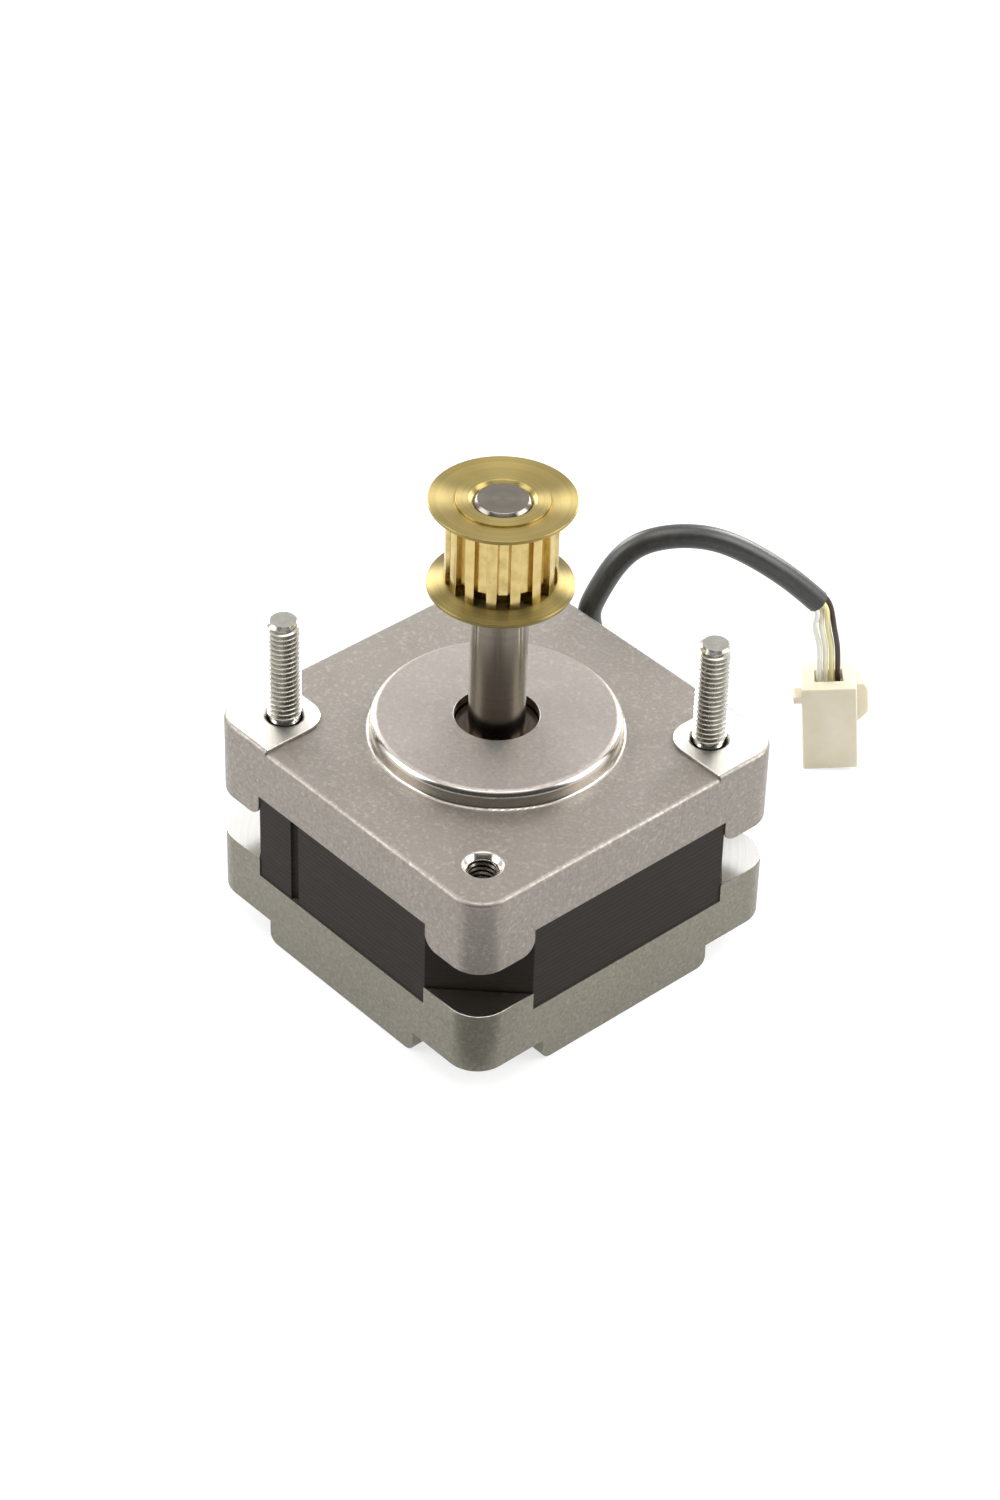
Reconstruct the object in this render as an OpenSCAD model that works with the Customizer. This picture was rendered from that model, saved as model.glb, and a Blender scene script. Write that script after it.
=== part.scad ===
// Square-frame stepper motor with a toothed belt pulley on its shaft, two
// mounting studs and a four-lead cable. Millimetres. The shaft turns about Z,
// the motor stands on its rear cap at z = 0, and its front face looks along +Z.

/* [Frame] */
// Side of the square end caps
side = 35.2; // [34:0.1:37]
// Radius of the caps' upright corners
corner_r = 3; // [2:0.1:4]
// Rounding of the front cap's face edge
edge_r = 0.45; // [0.2:0.05:0.8]
// Height from the feet to the front face
body_h = 20.7; // [20.2:0.1:32]

/* [Front cap] */
// Height of the front cap at the middle of a side
front_h = 5.3; // [5.1:0.1:7]
// Thickness of the front cap's plate
plate_t = 1.5; // [1:0.1:2]
// Reach of the front cap's corner lugs below its rim
front_lug_h = 2.3; // [1.5:0.1:3]
// Rounding of the front lugs' lower ends
lug_r = 1.4; // [0.6:0.1:1.4]
// Radius of the pilot boss
pilot_r = 11; // [10.5:0.1:12]
// Height of the pilot boss above the face
pilot_h = 1.7; // [1.5:0.1:2.2]
// Rounding at the foot of the pilot boss
pilot_fillet = 0.35; // [0.1:0.05:0.5]
// Chamfer on the pilot boss's rim
pilot_chamfer = 0.25; // [0.1:0.05:0.4]
// Thickness of the lip that holds the front bearing
lip_t = 1; // [0.7:0.1:1.2]
// Clearance of the eye's edge outside the inner race
eye_gap = 0.1; // [0.05:0.05:0.8]
// Height of the machined pads round the studs
pad_h = 0.3; // [0.1:0.05:0.5]
// Reach of a pad from its stud's axis towards the shaft
pad_reach = 3; // [2.2:0.1:4]
// Rounding of the pads' inner corners
pad_r = 2.7; // [1:0.1:3.5]

/* [Rear cap] */
// Room between the rear bearing and the rotor
rotor_gap = 1; // [0.8:0.1:2.4]
// Reach of the rear cap's corner lugs above its rim
rear_lug_h = 1.8; // [1.4:0.1:2.2]
// Thickness of the rear cap's floor
floor_t = 1.2; // [1:0.1:1.4]
// Distance of the screw heads above the feet
foot_gap = 0.2; // [0.1:0.05:0.6]
// Clearance round a screw head in its corner relief
head_gap = 0.55; // [0.3:0.05:0.6]
// Rounding of the feet's ends
foot_r = 1; // [0.5:0.1:1]
// Thinnest wall between a relief and the winding space
relief_wall = 0.18; // [0.1:0.02:0.5]
// Wall of the bearing hubs
hub_wall = 1.7; // [1.3:0.1:2]

/* [Stator] */
// Distance of the stack's sides behind the caps' sides
stack_inset = 0.1; // [0:0.05:0.5]
// Wall left outside the screw holes at the stack's chamfered corners
stack_wall = 0.19; // [0.1:0.01:0.6]
// Radius of the stator bore as a share of the radius inside the yoke
bore_share = 0.615; // [0.6:0.005:0.63]
// Number of wound poles
poles = 8; // [8:1:8]
// Width of a pole as a share of the radius inside the yoke
pole_share = 0.243; // [0.22:0.001:0.26]
// Teeth on each pole
pole_teeth = 6; // [4:1:6]
// Angle from one stator tooth to the next
tooth_angle = 7.2; // [6.6:0.1:7.2]
// Thickness of a pole shoe as a share of the radius inside the yoke
shoe_share = 0.088; // [0.07:0.001:0.1]
// Depth of the stator and rotor teeth
tooth_depth = 0.5; // [0.3:0.05:0.6]
// Width of the weld groove down the stack
groove_w = 1; // [0.6:0.1:1.4]
// Distance of the weld groove from the middle of the side
groove_off = 6.25; // [4:0.05:8]
// Thickness of the end insulators
insulator_t = 0.6; // [0.4:0.1:0.8]
// Gap that the insulation keeps between a coil and its pole
liner_t = 0.3; // [0.2:0.05:0.4]
// Gap between a coil and its pole's shoe as a share of the radius inside the yoke
coil_gap_share = 0.04; // [0.02:0.001:0.06]
// Gap between a coil and the yoke as a share of the radius inside the yoke
coil_back_share = 0.1; // [0.08:0.001:0.12]
// Gap of a coil from the middle between two poles as a share of the radius inside the yoke
coil_side_share = 0.044; // [0.03:0.001:0.07]
// Height of a coil's end turns
end_turn_h = 1.5; // [1.2:0.1:1.6]

/* [Rotor] */
// Radius of the shaft
shaft_r = 2.5; // [2.4:0.05:2.6]
// Length of the shaft above the front face
shaft_out = 24.2; // [20:0.1:30]
// Distance of the shaft's rear end above the feet
shaft_tail = 0.5; // [0.3:0.1:1]
// Chamfer on the shaft's ends
shaft_chamfer = 0.3; // [0.1:0.05:0.5]
// Air gap between the rotor and the stator
air_gap = 0.15; // [0.1:0.05:0.2]
// Teeth on a rotor cup
rotor_teeth = 50; // [40:2:50]
// Height of the rotor magnet
magnet_h = 2; // [1.5:0.1:3]
// Radius of the rotor magnet as a share of the rotor's radius
magnet_share = 0.827; // [0.7:0.001:0.9]
// Wall of the spacers beside the bearings
spacer_wall = 0.8; // [0.5:0.1:1]

/* [Bearings] */
// Outer radius of a bearing
bearing_r = 6.5; // [6.4:0.05:6.6]
// Width of a bearing
bearing_w = 4; // [3.8:0.1:4]
// Radius of a ball
ball_r = 1; // [0.9:0.01:1.02]
// Balls in a bearing
ball_count = 8; // [6:1:9]
// Thickness of a bearing race
race_t = 1.1; // [1:0.05:1.2]
// Thickness of a bearing shield
shield_t = 0.25; // [0.15:0.05:0.3]
// Thickness of the preload washer
preload_t = 0.4; // [0.3:0.05:0.5]

/* [Pulley] */
// Teeth on the pulley
pulley_teeth = 15; // [12:1:18]
// Radius over the pulley's teeth
pulley_r = 4.8; // [4.6:0.05:5]
// Depth of a tooth gap
gap_depth = 0.55; // [0.3:0.05:0.6]
// Width of a tooth gap at its mouth
gap_mouth = 1.1; // [0.8:0.05:1.2]
// Width of a tooth gap at its floor
gap_floor = 0.75; // [0.5:0.05:0.8]
// Depth of the pocket at the lower end of a gap
pocket_depth = 0.8; // [0.3:0.05:0.9]
// Height of the pocket at the lower end of a gap
pocket_h = 1.1; // [0.6:0.1:2]
// Length of the whole pulley
pulley_len = 8.8; // [8:0.1:12]
// Reach of a flange beyond the teeth
flange_reach = 1.5; // [1:0.05:2]
// Thickness of a flange at its seat
flange_t = 0.6; // [0.4:0.05:0.8]
// Thickness of a flange at its rim
rim_t = 0.34; // [0.2:0.02:0.4]
// Distance by which a flange's rim leans away from the belt
dish = 0.2; // [0.1:0.05:0.3]
// Step from the teeth's tips in to the spigots that carry the flanges
spigot_step = 0.8; // [0.7:0.05:0.9]
// Chamfer on the pulley's bore
bore_chamfer = 0.35; // [0.1:0.05:0.6]

/* [Screws] */
// Radius of the screws and studs
screw_r = 1.5; // [1.4:0.05:1.5]
// Step from a screw's thread down to its plain shank
neck_step = 0.16; // [0.1:0.02:0.25]
// Reach of the studs' thread below the pads
thread_below = 0.1; // [0.05:0.05:0.15]
// Radial clearance of a screw in a plain hole
screw_gap = 0.08; // [0.05:0.01:0.1]
// Depth of the tapped holes' thread
thread_depth = 0.25; // [0.2:0.05:0.3]
// Length of the open thread in the front corners
tapped_len = 4.2; // [3:0.1:5]
// Gap between a case screw's end and the open thread
screw_end_gap = 0.3; // [0.2:0.1:1]
// Widening at the mouths of the tapped holes
tapped_chamfer = 0.5; // [0.2:0.05:0.6]
// Widening at the mouths of the stud holes
stud_chamfer = 0.2; // [0.1:0.05:0.3]
// Height of the studs above the front face
stud_out = 10.5; // [6:0.1:16]
// Chamfer on the studs' ends
stud_end = 0.35; // [0.2:0.05:0.5]
// Radius of a screw head
head_r = 2.75; // [2.5:0.05:2.9]
// Height of a screw head
head_h = 2; // [1.6:0.1:2]
// Rounding of a screw head
head_round = 0.7; // [0.3:0.05:0.9]
// Width of the cross recess
recess_w = 0.6; // [0.4:0.05:0.8]
// Length of the cross recess
recess_len = 2.8; // [2:0.1:3.2]
// Depth of the cross recess
recess_depth = 1.1; // [0.8:0.1:1.4]

/* [Cable] */
// Radius of the cable's jacket
jacket_r = 1.1; // [1:0.05:1.15]
// Radius of a lead
lead_r = 0.26; // [0.2:0.01:0.27]
// Wall of the cable gland
gland_wall = 0.75; // [0.6:0.05:0.8]
// Reach of the gland's collar beyond its hole
collar_reach = 0.65; // [0.4:0.05:0.75]
// Thickness of the gland's collar
collar_t = 1; // [0.6:0.1:1.2]
// Length of the gland inside the rear cap's wall
gland_len = 4; // [3.5:0.1:4.3]
// Distance of the gland from the middle of the side
gland_off = 7; // [6:0.1:7]
// Height of the gland's hole above the rear cap's floor
gland_lift = 0.15; // [0.05:0.05:0.4]
// Thickness of the terminal board
board_t = 0.8; // [0.6:0.1:0.9]
// Width of the terminal board
board_w = 3; // [2.6:0.1:4]
// Radius of a terminal pin
pin_r = 0.3; // [0.2:0.05:0.4]

/* [Connector] */
// Width of the connector
plug_w = 5.1; // [4.6:0.1:6]
// Depth of the connector
plug_d = 4.5; // [3.6:0.1:5.5]
// Height of the connector
plug_h = 9.3; // [8.6:0.1:9.4]
// Thickness of the connector's latch
latch_t = 1.1; // [0.6:0.1:1.5]
// Width of the connector's latch
latch_w = 2; // [1.2:0.1:3]
// Size of the connector's ear
ear = 0.8; // [0.5:0.1:1.2]
// Depth of the mouth that takes the leads
mouth_depth = 1.2; // [0.8:0.1:1.6]
// Room beside the outer leads in the mouth
mouth_gap = 0.185; // [0.1:0.005:0.5]
// Gap between neighbouring leads in the mouth
lead_gap = 0.05; // [0.04:0.01:0.08]
// Thickness of a contact
contact_t = 0.3; // [0.2:0.02:0.36]
// Depth of a contact
contact_d = 0.9; // [0.6:0.1:1.2]

/* [Hidden] */
$fn = 64;

// Overrun of every cut past the surface it opens
cut = 0.5;
// Small clearances: parts that slip together, and turning parts near fixed ones
slip = 0.05;
ball_gap = 0.08;
shield_gap = 0.2;

// The screws' square is 26 mm wide on a 35.2 mm side, and keeps that share
screw_share = 26 / 35.2;

// Places across the frame
half = side / 2;
screw_c = half * screw_share;
hole_r = screw_r + screw_gap;
neck_r = screw_r - neck_step;
tapped_r = screw_r - thread_depth;
stack_half = half - stack_inset;
lug_from = 2 * screw_c + sqrt(2) * (hole_r + stack_wall) - stack_half;
relief_r = head_r + head_gap;
foot_half = screw_c - relief_r;
pad_from = screw_c - pad_reach;

// Radii about the shaft
spacer_r = shaft_r + spacer_wall;
inner_race_r = shaft_r + race_t;
outer_race_r = bearing_r - race_t;
ball_circle_r = (shaft_r + bearing_r) / 2;
hub_r = bearing_r + hub_wall;
eye_r = inner_race_r + eye_gap;
cavity_r = sqrt(2) * screw_c - relief_r - relief_wall;
yoke_r = cavity_r - 2 * slip;
bore_r = yoke_r * bore_share;

// Heights up the motor
relief_h = head_h + foot_gap;
rear_h = floor_t + preload_t + bearing_w + rotor_gap;
stack_z0 = rear_h;
stack_z1 = body_h - front_h;
stack_h = stack_z1 - stack_z0;
pilot_top = body_h + pilot_h;
front_bearing_z0 = pilot_top - lip_t - bearing_w;
rear_bearing_z0 = floor_t + preload_t;
rear_bearing_z1 = rear_bearing_z0 + bearing_w;
cup_h = (stack_h - magnet_h) / 2;
shaft_top = body_h + shaft_out;
pulley_z0 = shaft_top - pulley_len;

// Stator and rotor teeth
pole_step = 360 / poles;
pole_w = yoke_r * pole_share;
shoe_r = bore_r + yoke_r * shoe_share;
tooth_share = 0.5;
rotor_r = bore_r - air_gap;
magnet_r = rotor_r * magnet_share;
rotor_step = 360 / rotor_teeth;

// A coil's place and size about its pole
coil_from = shoe_r + yoke_r * coil_gap_share;
coil_back = yoke_r * coil_back_share;
coil_len = yoke_r - coil_back - coil_from;
coil_in = pole_w / 2 + liner_t;
coil_out = coil_from * tan(pole_step / 2) - yoke_r * coil_side_share;
coil_round = 0.6;

// Points on the arcs between two poles, and between two gaps of the pulley
arc_shares = [0.2, 0.3, 0.4, 0.5, 0.6, 0.7, 0.8];
land_shares = [0.4, 0.5, 0.6];

// One gap of the pulley faces this way
pulley_turn = -39.5;
pulley_step = 360 / pulley_teeth;
spigot_r = pulley_r - spigot_step;
flange_r = pulley_r + flange_reach;

// The corners that carry studs, and the corners with open threads
stud_corners = [[-1, -1], [1, 1]];
open_corners = [[1, -1], [-1, 1]];
all_corners = concat(stud_corners, open_corners);

// The terminal board spans this part of the winding space
board_from = 72;
board_span = 80;
board_out = cavity_r - shield_gap;
board_in = board_out - board_w;
pin_angles = [90, 135];
pin_off = 1.2;
pin_c = yoke_r - coil_back / 2;

// The cable's route, in points chosen by hand and counted from the gland's collar
gland_r = jacket_r + gland_wall;
collar_r = gland_r + collar_reach;
gland_z = floor_t + gland_lift + gland_r;
cable_start = half - gland_len;
cable_exit = [-gland_off, half + collar_t, gland_z];
jacket_steps = [
    [0, -2.6, 0], [0, 0.2, 0], [0, 1.39, 0.16], [0, 2.5, 0.62], [-0.1, 3.45, 1.35],
    [-0.2, 4.18, 2.3], [-0.35, 4.64, 3.41], [-0.55, 4.8, 4.6], [-0.85, 4.6, 6.2], [-1.2, 4, 7.7],
    [-1.55, 3.2, 9.2], [-1.9, 2.35, 10.8], [-2.2, 1.65, 12.4], [-2.4, 1.25, 14], [-2.5, 1.2, 15.6],
    [-2.3, 1.5, 16.9], [-2, 2, 18.2], [-1.2, 3.2, 20.8], [-0.3, 4.6, 22.4], [0.8, 6.2, 23.1],
    [2.2, 8.3, 23.2], [3.5, 10.3, 22.7], [5.1, 12.8, 21.2], [6.7, 15.1, 19.2], [8, 17.1, 17.1],
    [9.2, 18.9, 14.9]
];
jacket_route = concat([[-gland_off, cable_start, gland_z]], [for (p = jacket_steps) cable_exit + p]);
tube_sides = 8;
side_of_cable = [0.83, -0.55, 0];

// The leads' rows at the jacket's end and in the connector's mouth
lead_rows = [-1.5, -0.5, 0.5, 1.5];
jacket_pitch_share = 0.4;
jacket_pitch = jacket_r * jacket_pitch_share;
contact_pitch = 2 * lead_r + lead_gap;
mouth_w = (len(lead_rows) - 1) * contact_pitch + 2 * (lead_r + mouth_gap);

// The connector stands on its mating end and leans on its leads
plug_step = [10.6, 20.9];
plug_at = [cable_exit[0] + plug_step[0], cable_exit[1] + plug_step[1]];
plug_turn = 47;
plug_lean = 5;
plug_lift = plug_w / 2 * sin(plug_lean);
plug_top = [plug_at[0], plug_at[1], plug_h];
lead_steps = [[-0.9, -1.4, 6.3], [-0.7, -0.9, 3.9], [-0.6, -0.7, 1.9]];
contact_z0 = plug_h / 6;
latch_shares = [[0, 0.48], [0.4, 0.52], [1, 0.6], [1, 0.88], [0.7, 0.96], [0, 0.96]];

// Point at a radius and an angle
function polar(r, a) = [r * cos(a), r * sin(a)];

// Point at a radius on the ray at an angle, moved across the ray
function beside_ray(r, off, a) =
    let (x = sqrt(r * r - off * off))
    [x * cos(a) - off * sin(a), x * sin(a) + off * cos(a)];

// Vector made one unit long
function unit(v) = v / norm(v);

// Direction of a path at one of its points
function heading(path, i) =
    unit(path[min(i + 1, len(path) - 1)] - path[max(i - 1, 0)]);

// Points of a round tube swept along a path, ring after ring; the path never runs along side_dir
function tube_points(path, r, side_dir) = [
    for (i = [0:len(path) - 1])
        let (along = heading(path, i))
        let (across = unit(cross(along, side_dir)))
        let (beside = cross(along, across))
        for (k = [0:tube_sides - 1])
            path[i] + r * (across * cos(360 * k / tube_sides) + beside * sin(360 * k / tube_sides))
];

// Triangles of that tube, with its two flat ends
function tube_faces(rings) = concat(
    [for (k = [1:tube_sides - 2]) [0, k, k + 1]],
    [for (i = [0:rings - 2], k = [0:tube_sides - 1])
        [i * tube_sides + k, (i + 1) * tube_sides + k, i * tube_sides + (k + 1) % tube_sides]],
    [for (i = [0:rings - 2], k = [0:tube_sides - 1])
        [i * tube_sides + (k + 1) % tube_sides, (i + 1) * tube_sides + k,
            (i + 1) * tube_sides + (k + 1) % tube_sides]],
    [for (k = [1:tube_sides - 2])
        [(rings - 1) * tube_sides, (rings - 1) * tube_sides + k + 1, (rings - 1) * tube_sides + k]]
);

// Place of a connector point in the motor's frame
function plug_point(p) = [
    plug_at[0] + (p[0] * cos(plug_lean) - p[2] * sin(plug_lean)) * cos(plug_turn)
        - p[1] * sin(plug_turn),
    plug_at[1] + (p[0] * cos(plug_lean) - p[2] * sin(plug_lean)) * sin(plug_turn)
        + p[1] * cos(plug_turn),
    plug_lift + p[0] * sin(plug_lean) + p[2] * cos(plug_lean)
];

// Path of one lead from the jacket's end into the connector's mouth
function lead_path(k) =
    let (end = jacket_route[len(jacket_route) - 1])
    let (along = heading(jacket_route, len(jacket_route) - 1))
    let (beside = unit(cross(along, [0, 0, 1])))
    let (above = cross(beside, along))
    let (row = [cos(plug_turn), sin(plug_turn), 0])
    let (side_step = beside * lead_r * (k % 2 == 0 ? 1 : -1))
    let (first = end + above * lead_rows[k] * jacket_pitch + side_step)
    concat(
        [first, first + along * 2 * lead_r],
        [for (p = lead_steps) plug_top + p + row * lead_rows[k] * contact_pitch],
        [plug_point([lead_rows[k] * contact_pitch, 0, plug_h]),
            plug_point([lead_rows[k] * contact_pitch, 0, plug_h - mouth_depth])]
    );

// Path of one lead's inner end, from the jacket down to the terminal board
function tail_path(k) =
    let (row = lead_rows[k] * 3 * lead_r)
    let (start = [-gland_off + lead_rows[k] * jacket_pitch, cable_start,
        gland_z + lead_r * (k % 2 == 0 ? 1 : -1)])
    [start, start - [0, 2 * lead_r, 0], [-gland_off + row, cable_start - jacket_r, gland_z - jacket_r / 3],
        [-gland_off + row, cable_start - 2 * jacket_r, floor_t + board_t + lead_r]];

// Outline of one pole along +X with its toothed shoe, from the yoke and back to it
function pole_outline() =
    let (root = sqrt(yoke_r * yoke_r - pole_w * pole_w / 4))
    let (shoe_half = tooth_angle * (pole_teeth - 1 + tooth_share) / 2)
    concat(
        [[root, -pole_w / 2], [shoe_r, -pole_w / 2], polar(shoe_r, -shoe_half)],
        [for (k = [0:pole_teeth - 1])
            let (mid = tooth_angle * (k - (pole_teeth - 1) / 2))
            let (wide = tooth_angle * tooth_share / 2)
            each concat(
                k == 0 ? [] : [polar(bore_r + tooth_depth, mid - wide)],
                [polar(bore_r, mid - wide), polar(bore_r, mid + wide)],
                k == pole_teeth - 1 ? [] : [polar(bore_r + tooth_depth, mid + wide)]
            )],
        [polar(shoe_r, shoe_half), [shoe_r, pole_w / 2], [root, pole_w / 2]]
    );

// Outline of the bore and the winding slots, pole after pole, with the yoke's arcs between
function winding_outline() =
    [for (k = [0:poles - 1])
        each concat(
            [for (p = pole_outline()) polar(norm(p), atan2(p[1], p[0]) + k * pole_step)],
            [for (share = arc_shares) polar(yoke_r, (k + share) * pole_step)]
        )];

// Outline of a rotor cup, with its teeth turned by a part of a step
function cup_outline(turn_share) = [
    for (k = [0:rotor_teeth - 1])
        let (mid = rotor_step * (k + turn_share))
        let (wide = rotor_step * tooth_share / 2)
        each [polar(rotor_r - tooth_depth, mid - wide), polar(rotor_r, mid - wide),
            polar(rotor_r, mid + wide), polar(rotor_r - tooth_depth, mid + wide)]
];

// Outline of the pulley with its tooth gaps cut to a depth
function pulley_outline(depth) = [
    for (k = [0:pulley_teeth - 1])
        let (mid = pulley_turn + k * pulley_step)
        each concat(
            [beside_ray(pulley_r, -gap_mouth / 2, mid),
                beside_ray(pulley_r - depth, -gap_floor / 2, mid),
                beside_ray(pulley_r - depth, gap_floor / 2, mid),
                beside_ray(pulley_r, gap_mouth / 2, mid)],
            [for (share = land_shares) polar(pulley_r, mid + share * pulley_step)]
        )
];

// Octagon of the stack, grown by a clearance at its chamfers
module stack_outline(grow) {
    edge = lug_from + grow;
    polygon([
        [stack_half, -edge], [stack_half, edge], [edge, stack_half], [-edge, stack_half],
        [-stack_half, edge], [-stack_half, -edge], [-edge, -stack_half], [edge, -stack_half]
    ]);
}

// Square with round corners
module rounded_square(width, r) {
    square([width, width - 2 * r], center = true);
    square([width - 2 * r, width], center = true);
    for (c = all_corners)
        translate([c[0] * (width / 2 - r), c[1] * (width / 2 - r)])
            circle(r);
}

// Side view of a plate whose two upper edges are rounded
module rounded_top(width, height, r) {
    translate([-width / 2, 0])
        square([width, height - r]);
    translate([-width / 2 + r, 0])
        square([width - 2 * r, height]);
    for (s = [-1, 1])
        translate([s * (width / 2 - r), height - r])
            circle(r);
}

// Square block with round upright corners and a rounded upper edge
module cap_block(height) {
    for (turn = [0, 90])
        rotate([0, 0, turn])
            rotate([90, 0, 0])
                linear_extrude(side - 2 * corner_r, center = true)
                    rounded_top(side, height, edge_r);
    for (c = all_corners)
        translate([c[0] * (half - corner_r), c[1] * (half - corner_r), 0])
            rotate_extrude()
                intersection() {
                    rounded_top(2 * corner_r, height, edge_r);
                    square([corner_r, height]);
                }
}

// Side view of two corner lugs that hang down, with rounded inner ends
module lug_side(depth, r) {
    for (s = [0, 1])
        mirror([s, 0])
            difference() {
                translate([lug_from, -depth])
                    square([half - lug_from, depth]);
                difference() {
                    translate([lug_from - cut, -depth - cut])
                        square([r + cut, r + cut]);
                    translate([lug_from + r, -depth + r])
                        circle(r);
                }
            }
}

// The four lugs that hug the stack's chamfers, hanging from height zero
module corner_lugs(depth, r) {
    intersection() {
        translate([0, 0, -depth])
            linear_extrude(depth)
                difference() {
                    rounded_square(side, corner_r);
                    stack_outline(slip);
                }
        rotate([90, 0, 0])
            linear_extrude(side, center = true)
                lug_side(depth, r);
        rotate([90, 0, 90])
            linear_extrude(side, center = true)
                lug_side(depth, r);
    }
}

// Round hole with a conical mouth at its upper end
module chamfered_hole(r, length, widening) {
    rotate_extrude()
        polygon([
            [0, -length], [r, -length], [r, -widening], [r + widening + cut, cut], [0, cut]
        ]);
}

// Ring between two radii
module ring(outer, inner, height) {
    rotate_extrude()
        translate([inner, 0])
            square([outer - inner, height]);
}

// Tube swept along a path
module tube(path, r, side_dir) {
    polyhedron(points = tube_points(path, r, side_dir), faces = tube_faces(len(path)));
}

module front_cap() {
    color([0.7, 0.68, 0.65])
    difference() {
        union() {
            translate([0, 0, stack_z1])
                cap_block(front_h);
            intersection() {
                translate([0, 0, stack_z1])
                    cap_block(front_h + pad_h);
                translate([0, 0, stack_z1])
                    linear_extrude(front_h + pad_h)
                        for (c = stud_corners)
                            stud_pad_outline(c);
            }
            translate([0, 0, stack_z1])
                corner_lugs(front_lug_h, lug_r);
            translate([0, 0, body_h - edge_r])
                rotate_extrude()
                    pilot_side();
        }
        difference() {
            translate([0, 0, stack_z1 - cut])
                cylinder(r = cavity_r, h = front_h - plate_t + cut);
            translate([0, 0, front_bearing_z0])
                cylinder(r = hub_r, h = bearing_w);
        }
        translate([0, 0, front_bearing_z0 - cut])
            cylinder(r = bearing_r, h = bearing_w + cut);
        translate([0, 0, stack_z1])
            cylinder(r = eye_r, h = pilot_top - stack_z1 + cut);
        for (c = stud_corners)
            translate([c[0] * screw_c, c[1] * screw_c, body_h + pad_h])
                chamfered_hole(hole_r, front_h + pad_h + cut, stud_chamfer);
        for (c = open_corners)
            translate([c[0] * screw_c, c[1] * screw_c, body_h]) {
                chamfered_hole(tapped_r, front_h + cut, tapped_chamfer);
                translate([0, 0, -front_h - cut])
                    cylinder(r = hole_r, h = front_h - tapped_len + cut);
            }
    }
}

// Half section of the pilot boss with its rounded foot, from below the face
module pilot_side() {
    square([pilot_r, edge_r + pilot_h - pilot_chamfer]);
    translate([0, edge_r])
        polygon([
            [0, 0], [pilot_r, pilot_h - pilot_chamfer], [pilot_r - pilot_chamfer, pilot_h], [0, pilot_h]
        ]);
    difference() {
        square([pilot_r + pilot_fillet, edge_r + pilot_fillet]);
        translate([pilot_r + pilot_fillet, edge_r + pilot_fillet])
            circle(pilot_fillet);
    }
}

// Plan of the machined pad at one stud corner
module stud_pad_outline(c) {
    mirror([c[0] < 0 ? 1 : 0, 0])
        mirror([0, c[1] < 0 ? 1 : 0]) {
            translate([pad_from + pad_r, pad_from])
                square([half - pad_from - pad_r, half - pad_from]);
            translate([pad_from, pad_from + pad_r])
                square([half - pad_from, half - pad_from - pad_r]);
            translate([pad_from + pad_r, pad_from + pad_r])
                circle(pad_r);
        }
}

module rear_cap() {
    color([0.6, 0.6, 0.56])
    difference() {
        union() {
            translate([0, 0, relief_h])
                linear_extrude(rear_h - relief_h)
                    rounded_square(side, corner_r);
            translate([0, 0, stack_z0])
                mirror([0, 0, 1])
                    corner_lugs(rear_lug_h, slip);
            for (turn = [0, 90])
                rotate([0, 0, turn])
                    rotate([90, 0, 0])
                        linear_extrude(side, center = true)
                            foot_side();
            linear_extrude(relief_h)
                for (c = all_corners)
                    relief_corner(c);
        }
        difference() {
            translate([0, 0, floor_t])
                cylinder(r = cavity_r, h = rear_h - floor_t + cut);
            translate([0, 0, floor_t])
                cylinder(r = hub_r, h = preload_t + bearing_w);
        }
        translate([0, 0, floor_t])
            cylinder(r = bearing_r, h = rear_h);
        translate([0, 0, -cut])
            cylinder(r = eye_r, h = floor_t + 2 * cut);
        for (c = all_corners)
            translate([c[0] * screw_c, c[1] * screw_c, relief_h - cut])
                cylinder(r = hole_r, h = rear_h);
        translate([-gland_off, hub_r, gland_z])
            rotate([-90, 0, 0])
                cylinder(r = gland_r, h = half);
    }
}

// Side view of a foot with rounded lower ends
module foot_side() {
    mirror([0, 1])
        translate([0, -relief_h])
            rounded_top(2 * foot_half, relief_h, foot_r);
}

// Plan of the fill that rounds a relief's inner corner about the screw
module relief_corner(c) {
    difference() {
        translate([c[0] * (foot_half + relief_r / 2), c[1] * (foot_half + relief_r / 2)])
            square(relief_r, center = true);
        translate([c[0] * screw_c, c[1] * screw_c])
            circle(relief_r);
    }
}

module stator_stack() {
    color([0.24, 0.23, 0.21])
    translate([0, 0, stack_z0])
        linear_extrude(stack_h)
            difference() {
                stack_outline(0);
                polygon(winding_outline());
                for (c = all_corners)
                    translate([c[0] * screw_c, c[1] * screw_c])
                        circle(hole_r);
                for (s = [-1, 1])
                    translate([s * groove_off, s * stack_half])
                        circle(groove_w / 2);
            }
}

// End insulator: a ring along the yoke with one leg over each pole
module insulator() {
    linear_extrude(insulator_t) {
        difference() {
            circle(yoke_r - slip);
            circle(yoke_r - slip - insulator_t);
        }
        for (k = [0:poles - 1])
            rotate(k * pole_step)
                translate([bore_r + tooth_depth, -coil_in + slip])
                    square([yoke_r - bore_r - tooth_depth - insulator_t / 2, 2 * (coil_in - slip)]);
    }
}

module front_insulator() {
    color([0.9, 0.9, 0.86])
    translate([0, 0, stack_z1])
        insulator();
}

module rear_insulator() {
    color([0.9, 0.9, 0.86])
    translate([0, 0, stack_z0 - insulator_t])
        insulator();
}

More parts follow.
